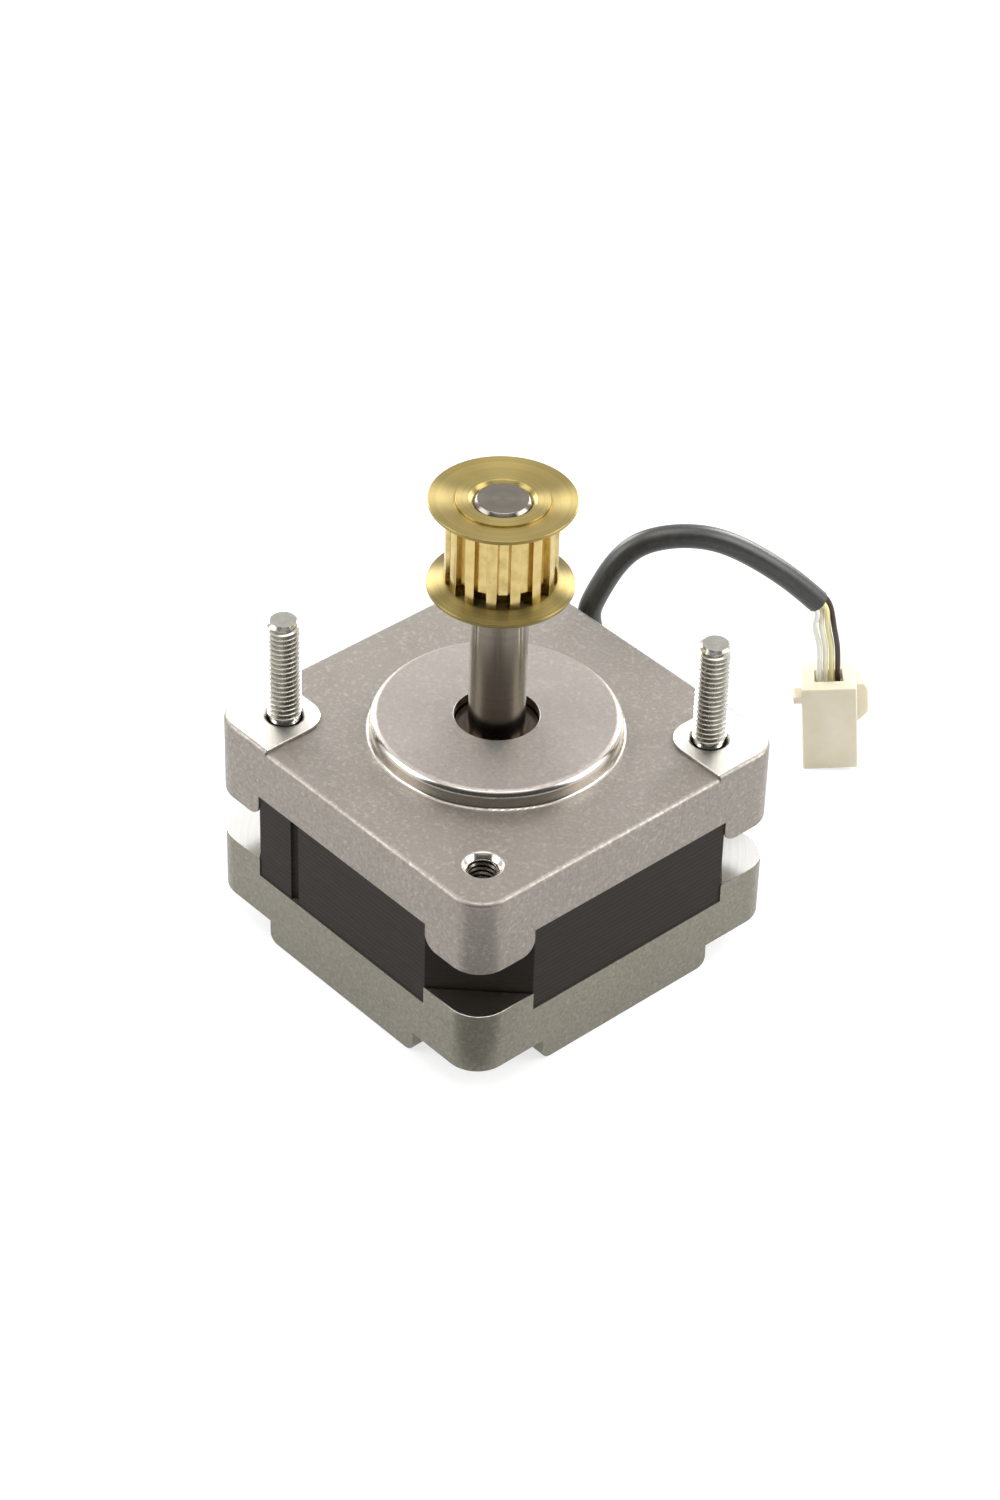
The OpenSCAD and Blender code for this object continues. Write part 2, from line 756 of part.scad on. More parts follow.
// One wound coil about the pole along +X, its corners rounded
module coil() {
    window_h = stack_h + 2 * insulator_t;
    translate([coil_from, 0, stack_z0 + stack_h / 2])
        rotate([90, 0, 90])
            linear_extrude(coil_len)
                difference() {
                    union() {
                        square([2 * coil_out, window_h + 2 * (end_turn_h - coil_round)], center = true);
                        square([2 * (coil_out - coil_round), window_h + 2 * end_turn_h], center = true);
                        for (c = all_corners)
                            translate([c[0] * (coil_out - coil_round),
                                c[1] * (window_h / 2 + end_turn_h - coil_round)])
                                circle(coil_round);
                    }
                    square([2 * coil_in, window_h], center = true);
                }
}

module stator_coils() {
    color([0.72, 0.4, 0.2])
    for (k = [0:poles - 1])
        rotate([0, 0, k * pole_step])
            coil();
}

// Races of a ball bearing, each with the balls' groove
module outer_race() {
    rotate_extrude()
        difference() {
            translate([outer_race_r, 0])
                square([bearing_r - outer_race_r, bearing_w]);
            translate([ball_circle_r, bearing_w / 2])
                circle(ball_r + ball_gap);
        }
}

module inner_race() {
    rotate_extrude()
        difference() {
            translate([shaft_r, 0])
                square([inner_race_r - shaft_r, bearing_w]);
            translate([ball_circle_r, bearing_w / 2])
                circle(ball_r + ball_gap);
        }
}

module bearing_shields() {
    for (z = [shield_gap, bearing_w - shield_gap - shield_t])
        translate([0, 0, z])
            ring(outer_race_r, inner_race_r + shield_gap, shield_t);
}

module balls() {
    for (k = [0:ball_count - 1])
        rotate([0, 0, 360 * k / ball_count])
            translate([ball_circle_r, 0, bearing_w / 2])
                sphere(ball_r);
}

// Crown cage that rides round the upper half of the balls
module ball_cage() {
    difference() {
        translate([0, 0, bearing_w / 2 - shield_gap])
            ring(ball_circle_r + 2 * shield_gap, ball_circle_r - 2 * shield_gap,
                ball_r + shield_gap + shield_t);
        for (k = [0:ball_count - 1])
            rotate([0, 0, 360 * k / ball_count])
                translate([ball_circle_r, 0, bearing_w / 2])
                    sphere(ball_r + slip);
    }
}

module front_outer_race() {
    color([0.75, 0.75, 0.76])
    translate([0, 0, front_bearing_z0])
        outer_race();
}

module rear_outer_race() {
    color([0.75, 0.75, 0.76])
    translate([0, 0, rear_bearing_z0])
        outer_race();
}

module front_inner_race() {
    color([0.75, 0.75, 0.76])
    translate([0, 0, front_bearing_z0])
        inner_race();
}

module rear_inner_race() {
    color([0.75, 0.75, 0.76])
    translate([0, 0, rear_bearing_z0])
        inner_race();
}

module front_bearing_shields() {
    color([0.6, 0.6, 0.6])
    translate([0, 0, front_bearing_z0])
        bearing_shields();
}

module rear_bearing_shields() {
    color([0.6, 0.6, 0.6])
    translate([0, 0, rear_bearing_z0])
        bearing_shields();
}

module front_balls() {
    color([0.8, 0.8, 0.82])
    translate([0, 0, front_bearing_z0])
        balls();
}

module rear_balls() {
    color([0.8, 0.8, 0.82])
    translate([0, 0, rear_bearing_z0])
        balls();
}

module front_ball_cage() {
    color([0.65, 0.63, 0.55])
    translate([0, 0, front_bearing_z0])
        ball_cage();
}

module rear_ball_cage() {
    color([0.65, 0.63, 0.55])
    translate([0, 0, rear_bearing_z0])
        ball_cage();
}

module preload_washer() {
    color([0.7, 0.7, 0.72])
    translate([0, 0, floor_t])
        ring(bearing_r - slip, outer_race_r - slip, preload_t);
}

// Pan-head screw, its head below z = 0, with a plain shank up to thread_from and a chamfered end
module screw(length, thread_from) {
    difference() {
        rotate_extrude() {
            polygon([
                [0, 0], [neck_r, 0], [neck_r, thread_from - neck_step], [screw_r, thread_from],
                [screw_r, length - stud_end], [screw_r - stud_end, length], [0, length]
            ]);
            mirror([0, 1])
                intersection() {
                    rounded_top(2 * head_r, head_h, head_round);
                    square([head_r, head_h]);
                }
        }
        for (turn = [0, 90])
            rotate([0, 0, turn])
                translate([-recess_len / 2, -recess_w / 2, -head_h - cut])
                    cube([recess_len, recess_w, recess_depth + cut]);
    }
}

module case_screws() {
    color([0.78, 0.78, 0.76])
    for (c = open_corners)
        translate([c[0] * screw_c, c[1] * screw_c, relief_h])
            screw(body_h - relief_h - tapped_len - screw_end_gap, stack_z1 - front_lug_h - relief_h);
}

module stud_screws() {
    color([0.82, 0.82, 0.8])
    for (c = stud_corners)
        translate([c[0] * screw_c, c[1] * screw_c, relief_h])
            screw(body_h - relief_h + stud_out, body_h + pad_h - thread_below - relief_h);
}

module terminal_board() {
    color([0.15, 0.4, 0.25])
    translate([0, 0, floor_t])
        rotate([0, 0, board_from])
            rotate_extrude(angle = board_span)
                translate([board_in, 0])
                    square([board_out - board_in, board_t]);
}

module terminal_pins() {
    color([0.85, 0.8, 0.6])
    for (a = pin_angles, s = [-1, 1])
        rotate([0, 0, a])
            translate([pin_c, s * pin_off, floor_t + board_t])
                cylinder(r = pin_r, h = stack_z0 - insulator_t - floor_t - board_t);
}

module shaft() {
    color([0.55, 0.53, 0.5])
    rotate_extrude()
        polygon([
            [0, shaft_tail], [shaft_r - shaft_chamfer, shaft_tail],
            [shaft_r, shaft_tail + shaft_chamfer], [shaft_r, shaft_top - shaft_chamfer],
            [shaft_r - shaft_chamfer, shaft_top], [0, shaft_top]
        ]);
}

// One toothed half of the rotor
module rotor_cup(turn_share) {
    linear_extrude(cup_h)
        difference() {
            polygon(cup_outline(turn_share));
            circle(shaft_r);
        }
}

module rear_rotor_cup() {
    color([0.4, 0.4, 0.42])
    translate([0, 0, stack_z0])
        rotor_cup(0);
}

module front_rotor_cup() {
    color([0.4, 0.4, 0.42])
    translate([0, 0, stack_z1 - cup_h])
        rotor_cup(tooth_share);
}

module rotor_magnet() {
    color([0.3, 0.3, 0.32])
    translate([0, 0, stack_z0 + cup_h])
        ring(magnet_r, shaft_r, magnet_h);
}

module front_spacer() {
    color([0.8, 0.72, 0.45])
    translate([0, 0, stack_z1])
        ring(spacer_r, shaft_r, front_bearing_z0 - stack_z1);
}

module rear_spacer() {
    color([0.8, 0.72, 0.45])
    translate([0, 0, rear_bearing_z1])
        ring(spacer_r, shaft_r, stack_z0 - rear_bearing_z1);
}

// Toothed core with a spigot for a flange at each end and a chamfered bore
module pulley_core() {
    tooth_z0 = flange_t + dish;
    tooth_h = pulley_len - 2 * tooth_z0;
    color([0.82, 0.7, 0.42])
    translate([0, 0, pulley_z0])
        difference() {
            union() {
                for (z = [0, pulley_len - tooth_z0])
                    translate([0, 0, z])
                        cylinder(r = spigot_r, h = tooth_z0);
                translate([0, 0, tooth_z0])
                    linear_extrude(pocket_h)
                        polygon(pulley_outline(gap_depth + pocket_depth));
                translate([0, 0, tooth_z0 + pocket_h])
                    linear_extrude(tooth_h - pocket_h)
                        polygon(pulley_outline(gap_depth));
            }
            translate([0, 0, -cut])
                cylinder(r = shaft_r, h = pulley_len + 2 * cut);
            for (z = [0, pulley_len])
                translate([0, 0, z])
                    rotate_extrude()
                        polygon([
                            [0, -bore_chamfer], [shaft_r, -bore_chamfer],
                            [shaft_r + bore_chamfer, 0], [shaft_r, bore_chamfer], [0, bore_chamfer]
                        ]);
        }
}

// Flange whose rim leans away from the belt, seated at z = 0
module flange() {
    rotate_extrude()
        polygon([
            [spigot_r, 0], [pulley_r, 0], [flange_r, flange_t + dish - rim_t],
            [flange_r, flange_t + dish], [pulley_r, flange_t], [spigot_r, flange_t]
        ]);
}

module pulley_upper_flange() {
    color([0.85, 0.74, 0.46])
    translate([0, 0, shaft_top - flange_t - dish])
        flange();
}

module pulley_lower_flange() {
    color([0.85, 0.74, 0.46])
    translate([0, 0, pulley_z0 + flange_t + dish])
        mirror([0, 0, 1])
            flange();
}

module cable_gland() {
    color([0.12, 0.12, 0.12])
    translate([-gland_off, cable_start, gland_z])
        rotate([-90, 0, 0]) {
            ring(gland_r, jacket_r + slip, half - cable_start);
            translate([0, 0, half - cable_start])
                ring(collar_r, jacket_r + slip, collar_t);
        }
}

module cable_jacket() {
    color([0.3, 0.31, 0.3])
    tube(jacket_route, jacket_r, side_of_cable);
}

module lead_white() {
    color([0.93, 0.93, 0.9])
    tube(lead_path(0), lead_r, side_of_cable);
}

module lead_ivory() {
    color([0.9, 0.88, 0.76])
    tube(lead_path(1), lead_r, side_of_cable);
}

module lead_yellow() {
    color([0.88, 0.84, 0.5])
    tube(lead_path(2), lead_r, side_of_cable);
}

module lead_brown() {
    color([0.18, 0.15, 0.08])
    tube(lead_path(3), lead_r, side_of_cable);
}

module lead_tails() {
    color([0.8, 0.78, 0.7])
    for (k = [0:len(lead_rows) - 1])
        tube(tail_path(k), lead_r, [0, 0, 1]);
}

// Places children in the leaning connector's own frame
module at_plug() {
    translate([plug_at[0], plug_at[1], plug_lift])
        rotate([0, 0, plug_turn])
            rotate([0, -plug_lean, 0])
                children();
}

module connector_housing() {
    color([0.85, 0.8, 0.68])
    at_plug()
        difference() {
            union() {
                translate([-plug_w / 2, -plug_d / 2, 0])
                    cube([plug_w, plug_d, plug_h]);
                rotate([90, 0, 0])
                    linear_extrude(latch_w, center = true)
                        translate([plug_w / 2, 0])
                            polygon([for (p = latch_shares) [p[0] * latch_t, p[1] * plug_h]]);
                translate([-plug_w / 2 - ear, -plug_d / 2, plug_h - 2 * ear])
                    cube([2 * ear, 2 * ear, ear]);
            }
            translate([-mouth_w / 2, -contact_d, plug_h - mouth_depth])
                cube([mouth_w, 2 * contact_d, mouth_depth + cut]);
            for (row = lead_rows)
                translate([row * contact_pitch - contact_t / 2 - slip, -contact_d / 2 - slip, -cut])
                    cube([contact_t + 2 * slip, contact_d + 2 * slip, plug_h]);
        }
}

module connector_contacts() {
    color([0.85, 0.78, 0.5])
    at_plug()
        for (row = lead_rows)
            translate([row * contact_pitch - contact_t / 2, -contact_d / 2, contact_z0])
                cube([contact_t, contact_d, plug_h - mouth_depth - contact_z0]);
}

front_cap();
rear_cap();
stator_stack();
front_insulator();
rear_insulator();
stator_coils();
front_outer_race();
rear_outer_race();
front_bearing_shields();
rear_bearing_shields();
preload_washer();
case_screws();
stud_screws();
terminal_board();
terminal_pins();
shaft();
front_rotor_cup();
rear_rotor_cup();
rotor_magnet();
front_spacer();
rear_spacer();
front_inner_race();
rear_inner_race();
pulley_core();
pulley_upper_flange();
pulley_lower_flange();
front_balls();
front_ball_cage();
rear_balls();
rear_ball_cage();
cable_gland();
cable_jacket();
lead_white();
lead_ivory();
lead_yellow();
lead_brown();
lead_tails();
connector_housing();
connector_contacts();
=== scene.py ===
"""Looks of a small square stepper motor.

Two cast caps close a dark lamination stack. Two long screws stand out of the front as studs, a
toothed brass pulley sits on the shaft, and a short dark cable ends in four leads and a plug.
"""

import logging
import math
from collections.abc import Callable
from dataclasses import dataclass, field
from enum import Enum

import bmesh
import bpy
import numpy as np
from mathutils import Matrix


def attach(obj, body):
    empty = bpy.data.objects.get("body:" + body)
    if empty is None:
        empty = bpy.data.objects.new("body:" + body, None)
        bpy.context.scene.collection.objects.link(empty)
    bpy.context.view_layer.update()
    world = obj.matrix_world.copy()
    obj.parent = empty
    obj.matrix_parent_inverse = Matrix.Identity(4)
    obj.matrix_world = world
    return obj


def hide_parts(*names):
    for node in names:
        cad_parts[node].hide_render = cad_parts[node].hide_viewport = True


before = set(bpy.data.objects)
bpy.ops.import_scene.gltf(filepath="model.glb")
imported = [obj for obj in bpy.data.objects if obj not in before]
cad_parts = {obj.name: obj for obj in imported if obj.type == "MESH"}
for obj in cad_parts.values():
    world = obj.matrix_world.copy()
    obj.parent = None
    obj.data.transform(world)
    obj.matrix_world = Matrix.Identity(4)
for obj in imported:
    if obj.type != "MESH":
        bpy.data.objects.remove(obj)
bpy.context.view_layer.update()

MM = 0.001
# Points nearer than this become one, in new surfaces and in solids.
WELD = 0.0005 * MM
MERGE = 0.002 * MM
# A solid's faces that turn less than this against each other are one flat.
FLAT = math.radians(0.4)
# An edge is eased where its faces turn by an angle between these two.
SHARP = math.radians(32)
KNIFE = math.radians(150)
# An edge no longer than this is left alone.
TINY = 0.02 * MM
# A face is level where its normal rises more than the first of these, and upright where it
# rises or falls less than the second.
LEVEL = 0.9
UPRIGHT = 0.5
UNROLLED = "unrolled_mm"
# A band texture repeats once for each 2 pi / 20 of its scaled length.
BAND = math.pi / 10
# A noise's values lie between these almost everywhere.
NOISE_LOW, NOISE_HIGH = 0.3, 0.7
LOG = logging.getLogger("stepper_motor")


class Body(str, Enum):
    """The groups that the pieces made here ride on: the one that stands and the one that turns."""

    MOTOR = "motor_body"
    ROTOR = "rotor"


class Axis(Enum):
    """The direction that a turned piece is turned about."""

    UP = "up"
    BACK = "back"


def linear(hex_colour: str) -> tuple[float, float, float, float]:
    """Turn an sRGB hex colour into linear values.

    Each channel c becomes c / 12.92 where it is dark, and ((c + 0.055) / 1.055) ^ 2.4 elsewhere.

    Args:
        hex_colour: six hex digits, red first.

    Returns:
        The linear red, green and blue, and an alpha of one.
    """
    c = np.array([int(hex_colour[i : i + 2], 16) for i in (0, 2, 4)]) / 255
    c = np.where(c <= 0.04045, c / 12.92, ((c + 0.055) / 1.055) ** 2.4)
    return float(c[0]), float(c[1]), float(c[2]), 1.0


def add_node(
    tree: bpy.types.NodeTree, kind: str, inputs: dict | None = None, **settings: object
) -> bpy.types.Node:
    """Add one node with its settings and links.

    Args:
        tree: the node tree that gets the node.
        kind: the node's type, without its common first word.
        inputs: a plain value or another node's output for each input, by name or number.
        **settings: the node's own properties.

    Returns:
        The new node.
    """
    node = tree.nodes.new("ShaderNode" + kind)
    for name, value in settings.items():
        setattr(node, name, value)
    for name, value in (inputs or {}).items():
        if isinstance(value, bpy.types.NodeSocket):
            tree.links.new(value, node.inputs[name])
        else:
            node.inputs[name].default_value = value
    return node


def per_mm(size: float) -> float:
    """Texture scale at which one cell of a pattern is size millimetres wide."""
    return 1.0 / (size * MM)


def fresh_tree(owner: bpy.types.Material | bpy.types.World) -> bpy.types.NodeTree:
    """Switch on the nodes of a material or the world and clear them.

    Args:
        owner: the material or the world.

    Returns:
        Its empty node tree.
    """
    owner.use_nodes = True
    owner.node_tree.nodes.clear()
    return owner.node_tree


def placed(name: str, data: bpy.types.ID) -> bpy.types.Object:
    """Make an object of its data and put it into the scene.

    Args:
        name: the object's name.
        data: its mesh, lamp or camera.

    Returns:
        The object.
    """
    thing = bpy.data.objects.new(name, data)
    bpy.context.scene.collection.objects.link(thing)
    return thing


@dataclass(frozen=True)
class Skin:
    """A material in the making: its nodes, its shader and the point on the object, in metres."""

    tree: bpy.types.NodeTree
    shader: bpy.types.Node
    place: bpy.types.NodeSocket

    def lay(
        self,
        base: str,
        layers: list[tuple[bpy.types.NodeSocket, float, float, float, str]],
        raised: bpy.types.NodeSocket | None = None,
        depth_mm: float = 0.0,
        strength: float = 1.0,
        rough: tuple[bpy.types.NodeSocket, float, float] | None = None,
    ) -> None:
        """Lay colours over a base, raise the skin by a pattern and vary its gloss.

        Args:
            base: the main colour.
            layers: for each further colour the pattern that brings it in, the pattern's values
                where it starts and where it is full, its greatest share, and the colour.
            raised: the pattern that raises the skin.
            depth_mm: how far it does so, in millimetres.
            strength: how much of that the light sees.
            rough: the pattern that varies the gloss, and the roughness at its low and high.
        """
        tone = linear(base)
        for pattern, low, high, most, colour in layers:
            span = {"Value": pattern, "From Min": low, "From Max": high, "To Max": most}
            share = add_node(self.tree, "MapRange", span).outputs["Result"]
            mix = {0: share, 6: tone, 7: linear(colour)}
            tone = add_node(self.tree, "Mix", mix, data_type="RGBA").outputs[2]
        self.tree.links.new(tone, self.shader.inputs["Base Color"])
        if raised is not None:
            relief = {"Strength": strength, "Distance": depth_mm * MM, "Height": raised}
            bump = add_node(self.tree, "Bump", relief)
            self.tree.links.new(bump.outputs["Normal"], self.shader.inputs["Normal"])
        if rough is not None:
            pattern, least, most = rough
            span = {"Value": pattern, "From Min": NOISE_LOW, "From Max": NOISE_HIGH}
            gloss = add_node(self.tree, "MapRange", {**span, "To Min": least, "To Max": most})
            self.tree.links.new(gloss.outputs["Result"], self.shader.inputs["Roughness"])


@dataclass(frozen=True)
class Finish:
    """What every finish has: a name, a main colour and a gloss."""

    name: str
    colour: str
    roughness: float
    metallic: float = 0.0
    ior: float = 1.5

    def make(self) -> bpy.types.Material:
        """Build the material and let the finish dress it.

        Returns:
            The new material.
        """
        material = bpy.data.materials.new(self.name)
        tree = fresh_tree(material)
        plain = {
            "Base Color": linear(self.colour),
            "Roughness": self.roughness,
            "Metallic": self.metallic,
        }
        shader = add_node(tree, "BsdfPrincipled", plain)
        # A metal keeps the shader's own value.
        if self.metallic < 0.5:
            shader.inputs["IOR"].default_value = self.ior
        add_node(tree, "OutputMaterial", {"Surface": shader.outputs["BSDF"]})
        self.dress(Skin(tree, shader, add_node(tree, "TexCoord").outputs["Object"]))
        material.diffuse_color = linear(self.colour)
        return material

    def dress(self, skin: Skin) -> None:
        """Leave the shader as it is; finishes with a pattern add to it."""


@dataclass(frozen=True)
class TumbledCasting(Finish):
    """Die-cast alloy, tumbled in stones: a dull skin of small light and dark grains."""

    dark: str = "7F786F"
    light: str = "BDB7AE"
    metallic: float = 1.0
    cloud_mm: float = 5.0
    grain_mm: float = 0.3
    fleck_mm: float = 0.42
    pit_depth_mm: float = 0.008

    def dress(self, skin: Skin) -> None:
        """Lay dark grains and light flecks over faint clouds, and pit the skin.

        Args:
            skin: the material in the making.
        """
        noise = {"Vector": skin.place, "Detail": 3.0, "Roughness": 0.6}
        cloud, grain, fleck = (
            add_node(skin.tree, "TexNoise", {**noise, "Scale": per_mm(size)}).outputs["Fac"]
            for size in (self.cloud_mm, self.grain_mm, self.fleck_mm)
        )
        layers = [
            (cloud, 0.45, 0.7, 0.25, self.dark),
            (grain, 0.42, 0.66, 0.55, self.dark),
            (fleck, 0.52, 0.7, 0.36, self.light),
        ]
        rough = (grain, self.roughness - 0.06, self.roughness + 0.08)
        skin.lay(self.colour, layers, grain, self.pit_depth_mm, rough=rough)


@dataclass(frozen=True)
class TurnedMetal(Finish):
    """Metal cut on a lathe: fine rings that spread each highlight across them."""

    shade: str = "8A7A4A"
    metallic: float = 1.0
    # Real rings are about 0.05 mm apart; they are drawn coarser, so that some of them show.
    ring_mm: float = 0.22
    ring_depth_mm: float = 0.004
    spread: float = 0.7
    tint: float = 0.35
    # How far the direction of the stretched gloss is tipped up.
    tip: float = 0.3

    def dress(self, skin: Skin) -> None:
        """Lay rings by the distance from the axis and the height, and stretch the gloss.

        The gloss stretches along the way out from the axis, tipped up a little, so that an
        upright wall has a direction too.

        Args:
            skin: the material in the making.
        """
        tree = skin.tree
        split = add_node(tree, "SeparateXYZ", {"Vector": skin.place}).outputs
        flat = add_node(tree, "CombineXYZ", {"X": split["X"], "Y": split["Y"]}).outputs[0]
        radius = add_node(tree, "VectorMath", {0: flat}, operation="LENGTH").outputs["Value"]
        ring_place = add_node(tree, "CombineXYZ", {"X": radius, "Z": split["Z"]}).outputs[0]
        noise = {"Vector": ring_place, "Scale": per_mm(self.ring_mm), "Detail": 3.0}
        rings = add_node(tree, "TexNoise", noise).outputs["Fac"]
        skin.lay(
            self.colour, [(rings, 0.35, 0.75, self.tint, self.shade)], rings, self.ring_depth_mm
        )
        outward = add_node(tree, "VectorMath", {0: flat}, operation="NORMALIZE").outputs[0]
        tipped = {0: outward, 1: (0.0, 0.0, self.tip)}
        across = add_node(tree, "VectorMath", tipped, operation="ADD").outputs[0]
        tree.links.new(across, skin.shader.inputs["Tangent"])
        skin.shader.inputs["Anisotropic"].default_value = self.spread


@dataclass(frozen=True)
class PlatedSteel(Finish):
    """Rolled and plated steel: a clear bright skin with faint cloudy spots."""

    cloud: str = "A9A79E"
    metallic: float = 1.0
    cloud_mm: float = 0.7

    def dress(self, skin: Skin) -> None:
        """Cloud the plating's colour and gloss a little.

        Args:
            skin: the material in the making.
        """
        noise = {"Vector": skin.place, "Scale": per_mm(self.cloud_mm), "Detail": 3.0}
        spots = add_node(skin.tree, "TexNoise", noise).outputs["Fac"]
        rough = (spots, self.roughness - 0.04, self.roughness + 0.1)
        skin.lay(self.colour, [(spots, 0.4, 0.7, 0.45, self.cloud)], rough=rough)


@dataclass(frozen=True)
class LaminatedSteel(Finish):
    """Punched sheets under a dark varnish: fine level lines and a low, uneven sheen."""

    edge: str = "5A574C"
    sheet_mm: float = 0.5
    groove_mm: float = 0.008
    streak_mm: float = 2.4
    flattening: float = 14.0

    def dress(self, skin: Skin) -> None:
        """Rule a line at each sheet's edge, and let bare steel through in level streaks.

        Args:
            skin: the material in the making.
        """
        tree = skin.tree
        bands = {"Vector": skin.place, "Scale": BAND / (self.sheet_mm * MM)}
        sheets = add_node(tree, "TexWave", bands, bands_direction="Z", wave_profile="SIN")
        flattened = {"Vector": skin.place, "Scale": (1.0, 1.0, self.flattening)}
        level = add_node(tree, "Mapping", flattened).outputs["Vector"]
        noise = {"Vector": level, "Scale": per_mm(self.streak_mm), "Detail": 4.0}
        streaks = add_node(tree, "TexNoise", noise).outputs["Fac"]
        skin.lay(
            self.colour,
            [(streaks, 0.45, 0.8, 0.7, self.edge)],
            sheets.outputs["Fac"],
            self.groove_mm,
        )


@dataclass(frozen=True)
class MouldedPlastic(Finish):
    """Injection-moulded plastic: an even colour, faint flow clouds and a soft orange-peel skin."""

    flow: str = "D8D2BE"
    flow_mm: float = 3.0
    peel_mm: float = 0.4
    peel_depth_mm: float = 0.004
    glow: float = 0.0
    # How deep light goes in, and each colour's share of that.
    glow_mm: float = 0.6
    glow_shares: tuple[float, float, float] = (1.0, 0.8, 0.5)
    ior: float = 1.53

    def dress(self, skin: Skin) -> None:
        """Cloud the colour along the flow and pebble the skin.

        Args:
            skin: the material in the making.
        """
        noise = {"Vector": skin.place, "Detail": 2.0}
        clouds, peel = (
            add_node(skin.tree, "TexNoise", {**noise, "Scale": per_mm(size)}).outputs["Fac"]
            for size in (self.flow_mm, self.peel_mm)
        )
        skin.lay(self.colour, [(clouds, 0.0, 1.0, 1.0, self.flow)], peel, self.peel_depth_mm)
        if self.glow:
            skin.shader.inputs["Subsurface Weight"].default_value = self.glow
            skin.shader.inputs["Subsurface Radius"].default_value = self.glow_shares
            skin.shader.inputs["Subsurface Scale"].default_value = self.glow_mm * MM


@dataclass(frozen=True)
class ExtrudedPlastic(Finish):
    """Plastic drawn over a wire: a satin skin with faint lines along its length."""

    streak: str = "5C605C"
    line_mm: float = 0.18
    line_depth_mm: float = 0.005
    stretch: float = 0.03
    mottle_mm: float = 0.5
    tint: float = 0.6
    ior: float = 1.53

    def dress(self, skin: Skin) -> None:
        """Draw the lines along the surface's own map, which is in millimetres.

        Args:
            skin: the material in the making.
        """
        tree = skin.tree
        unrolled = add_node(tree, "UVMap", uv_map=UNROLLED).outputs["UV"]
        stretched = {"Vector": unrolled, "Scale": (1.0, self.stretch, 1.0)}
        along = add_node(tree, "Mapping", stretched).outputs["Vector"]
        lines, mottle = (
            add_node(tree, "TexNoise", {"Vector": at, "Scale": scale, "Detail": 3.0}).outputs["Fac"]
            for at, scale in ((along, 1.0 / self.line_mm), (skin.place, per_mm(self.mottle_mm)))
        )
        both = add_node(tree, "Math", {0: lines, 1: mottle}, operation="MULTIPLY").outputs[0]
        skin.lay(
            self.colour, [(both, 0.2, 0.4, self.tint, self.streak)], lines, self.line_depth_mm
        )


@dataclass(frozen=True)
class WovenLaminate(Finish):
    """Glass cloth in lacquered resin: a faint weave under a green gloss."""

    thread: str = "1E6A3C"
    weave_mm: float = 0.45
    lacquer_mm: float = 0.01
    ior: float = 1.55

    def dress(self, skin: Skin) -> None:
        """Cross two sets of threads.

        Args:
            skin: the material in the making.
        """
        bands = {"Vector": skin.place, "Scale": BAND / (self.weave_mm * MM)}
        warp, weft = (
            add_node(skin.tree, "TexWave", bands, bands_direction=way).outputs["Fac"]
            for way in ("X", "Y")
        )
        weave = add_node(skin.tree, "Math", {0: warp, 1: weft}, operation="MULTIPLY").outputs[0]
        skin.lay(
            self.colour, [(weave, 0.0, 1.0, 1.0, self.thread)], weave, self.lacquer_mm, 0.5
        )


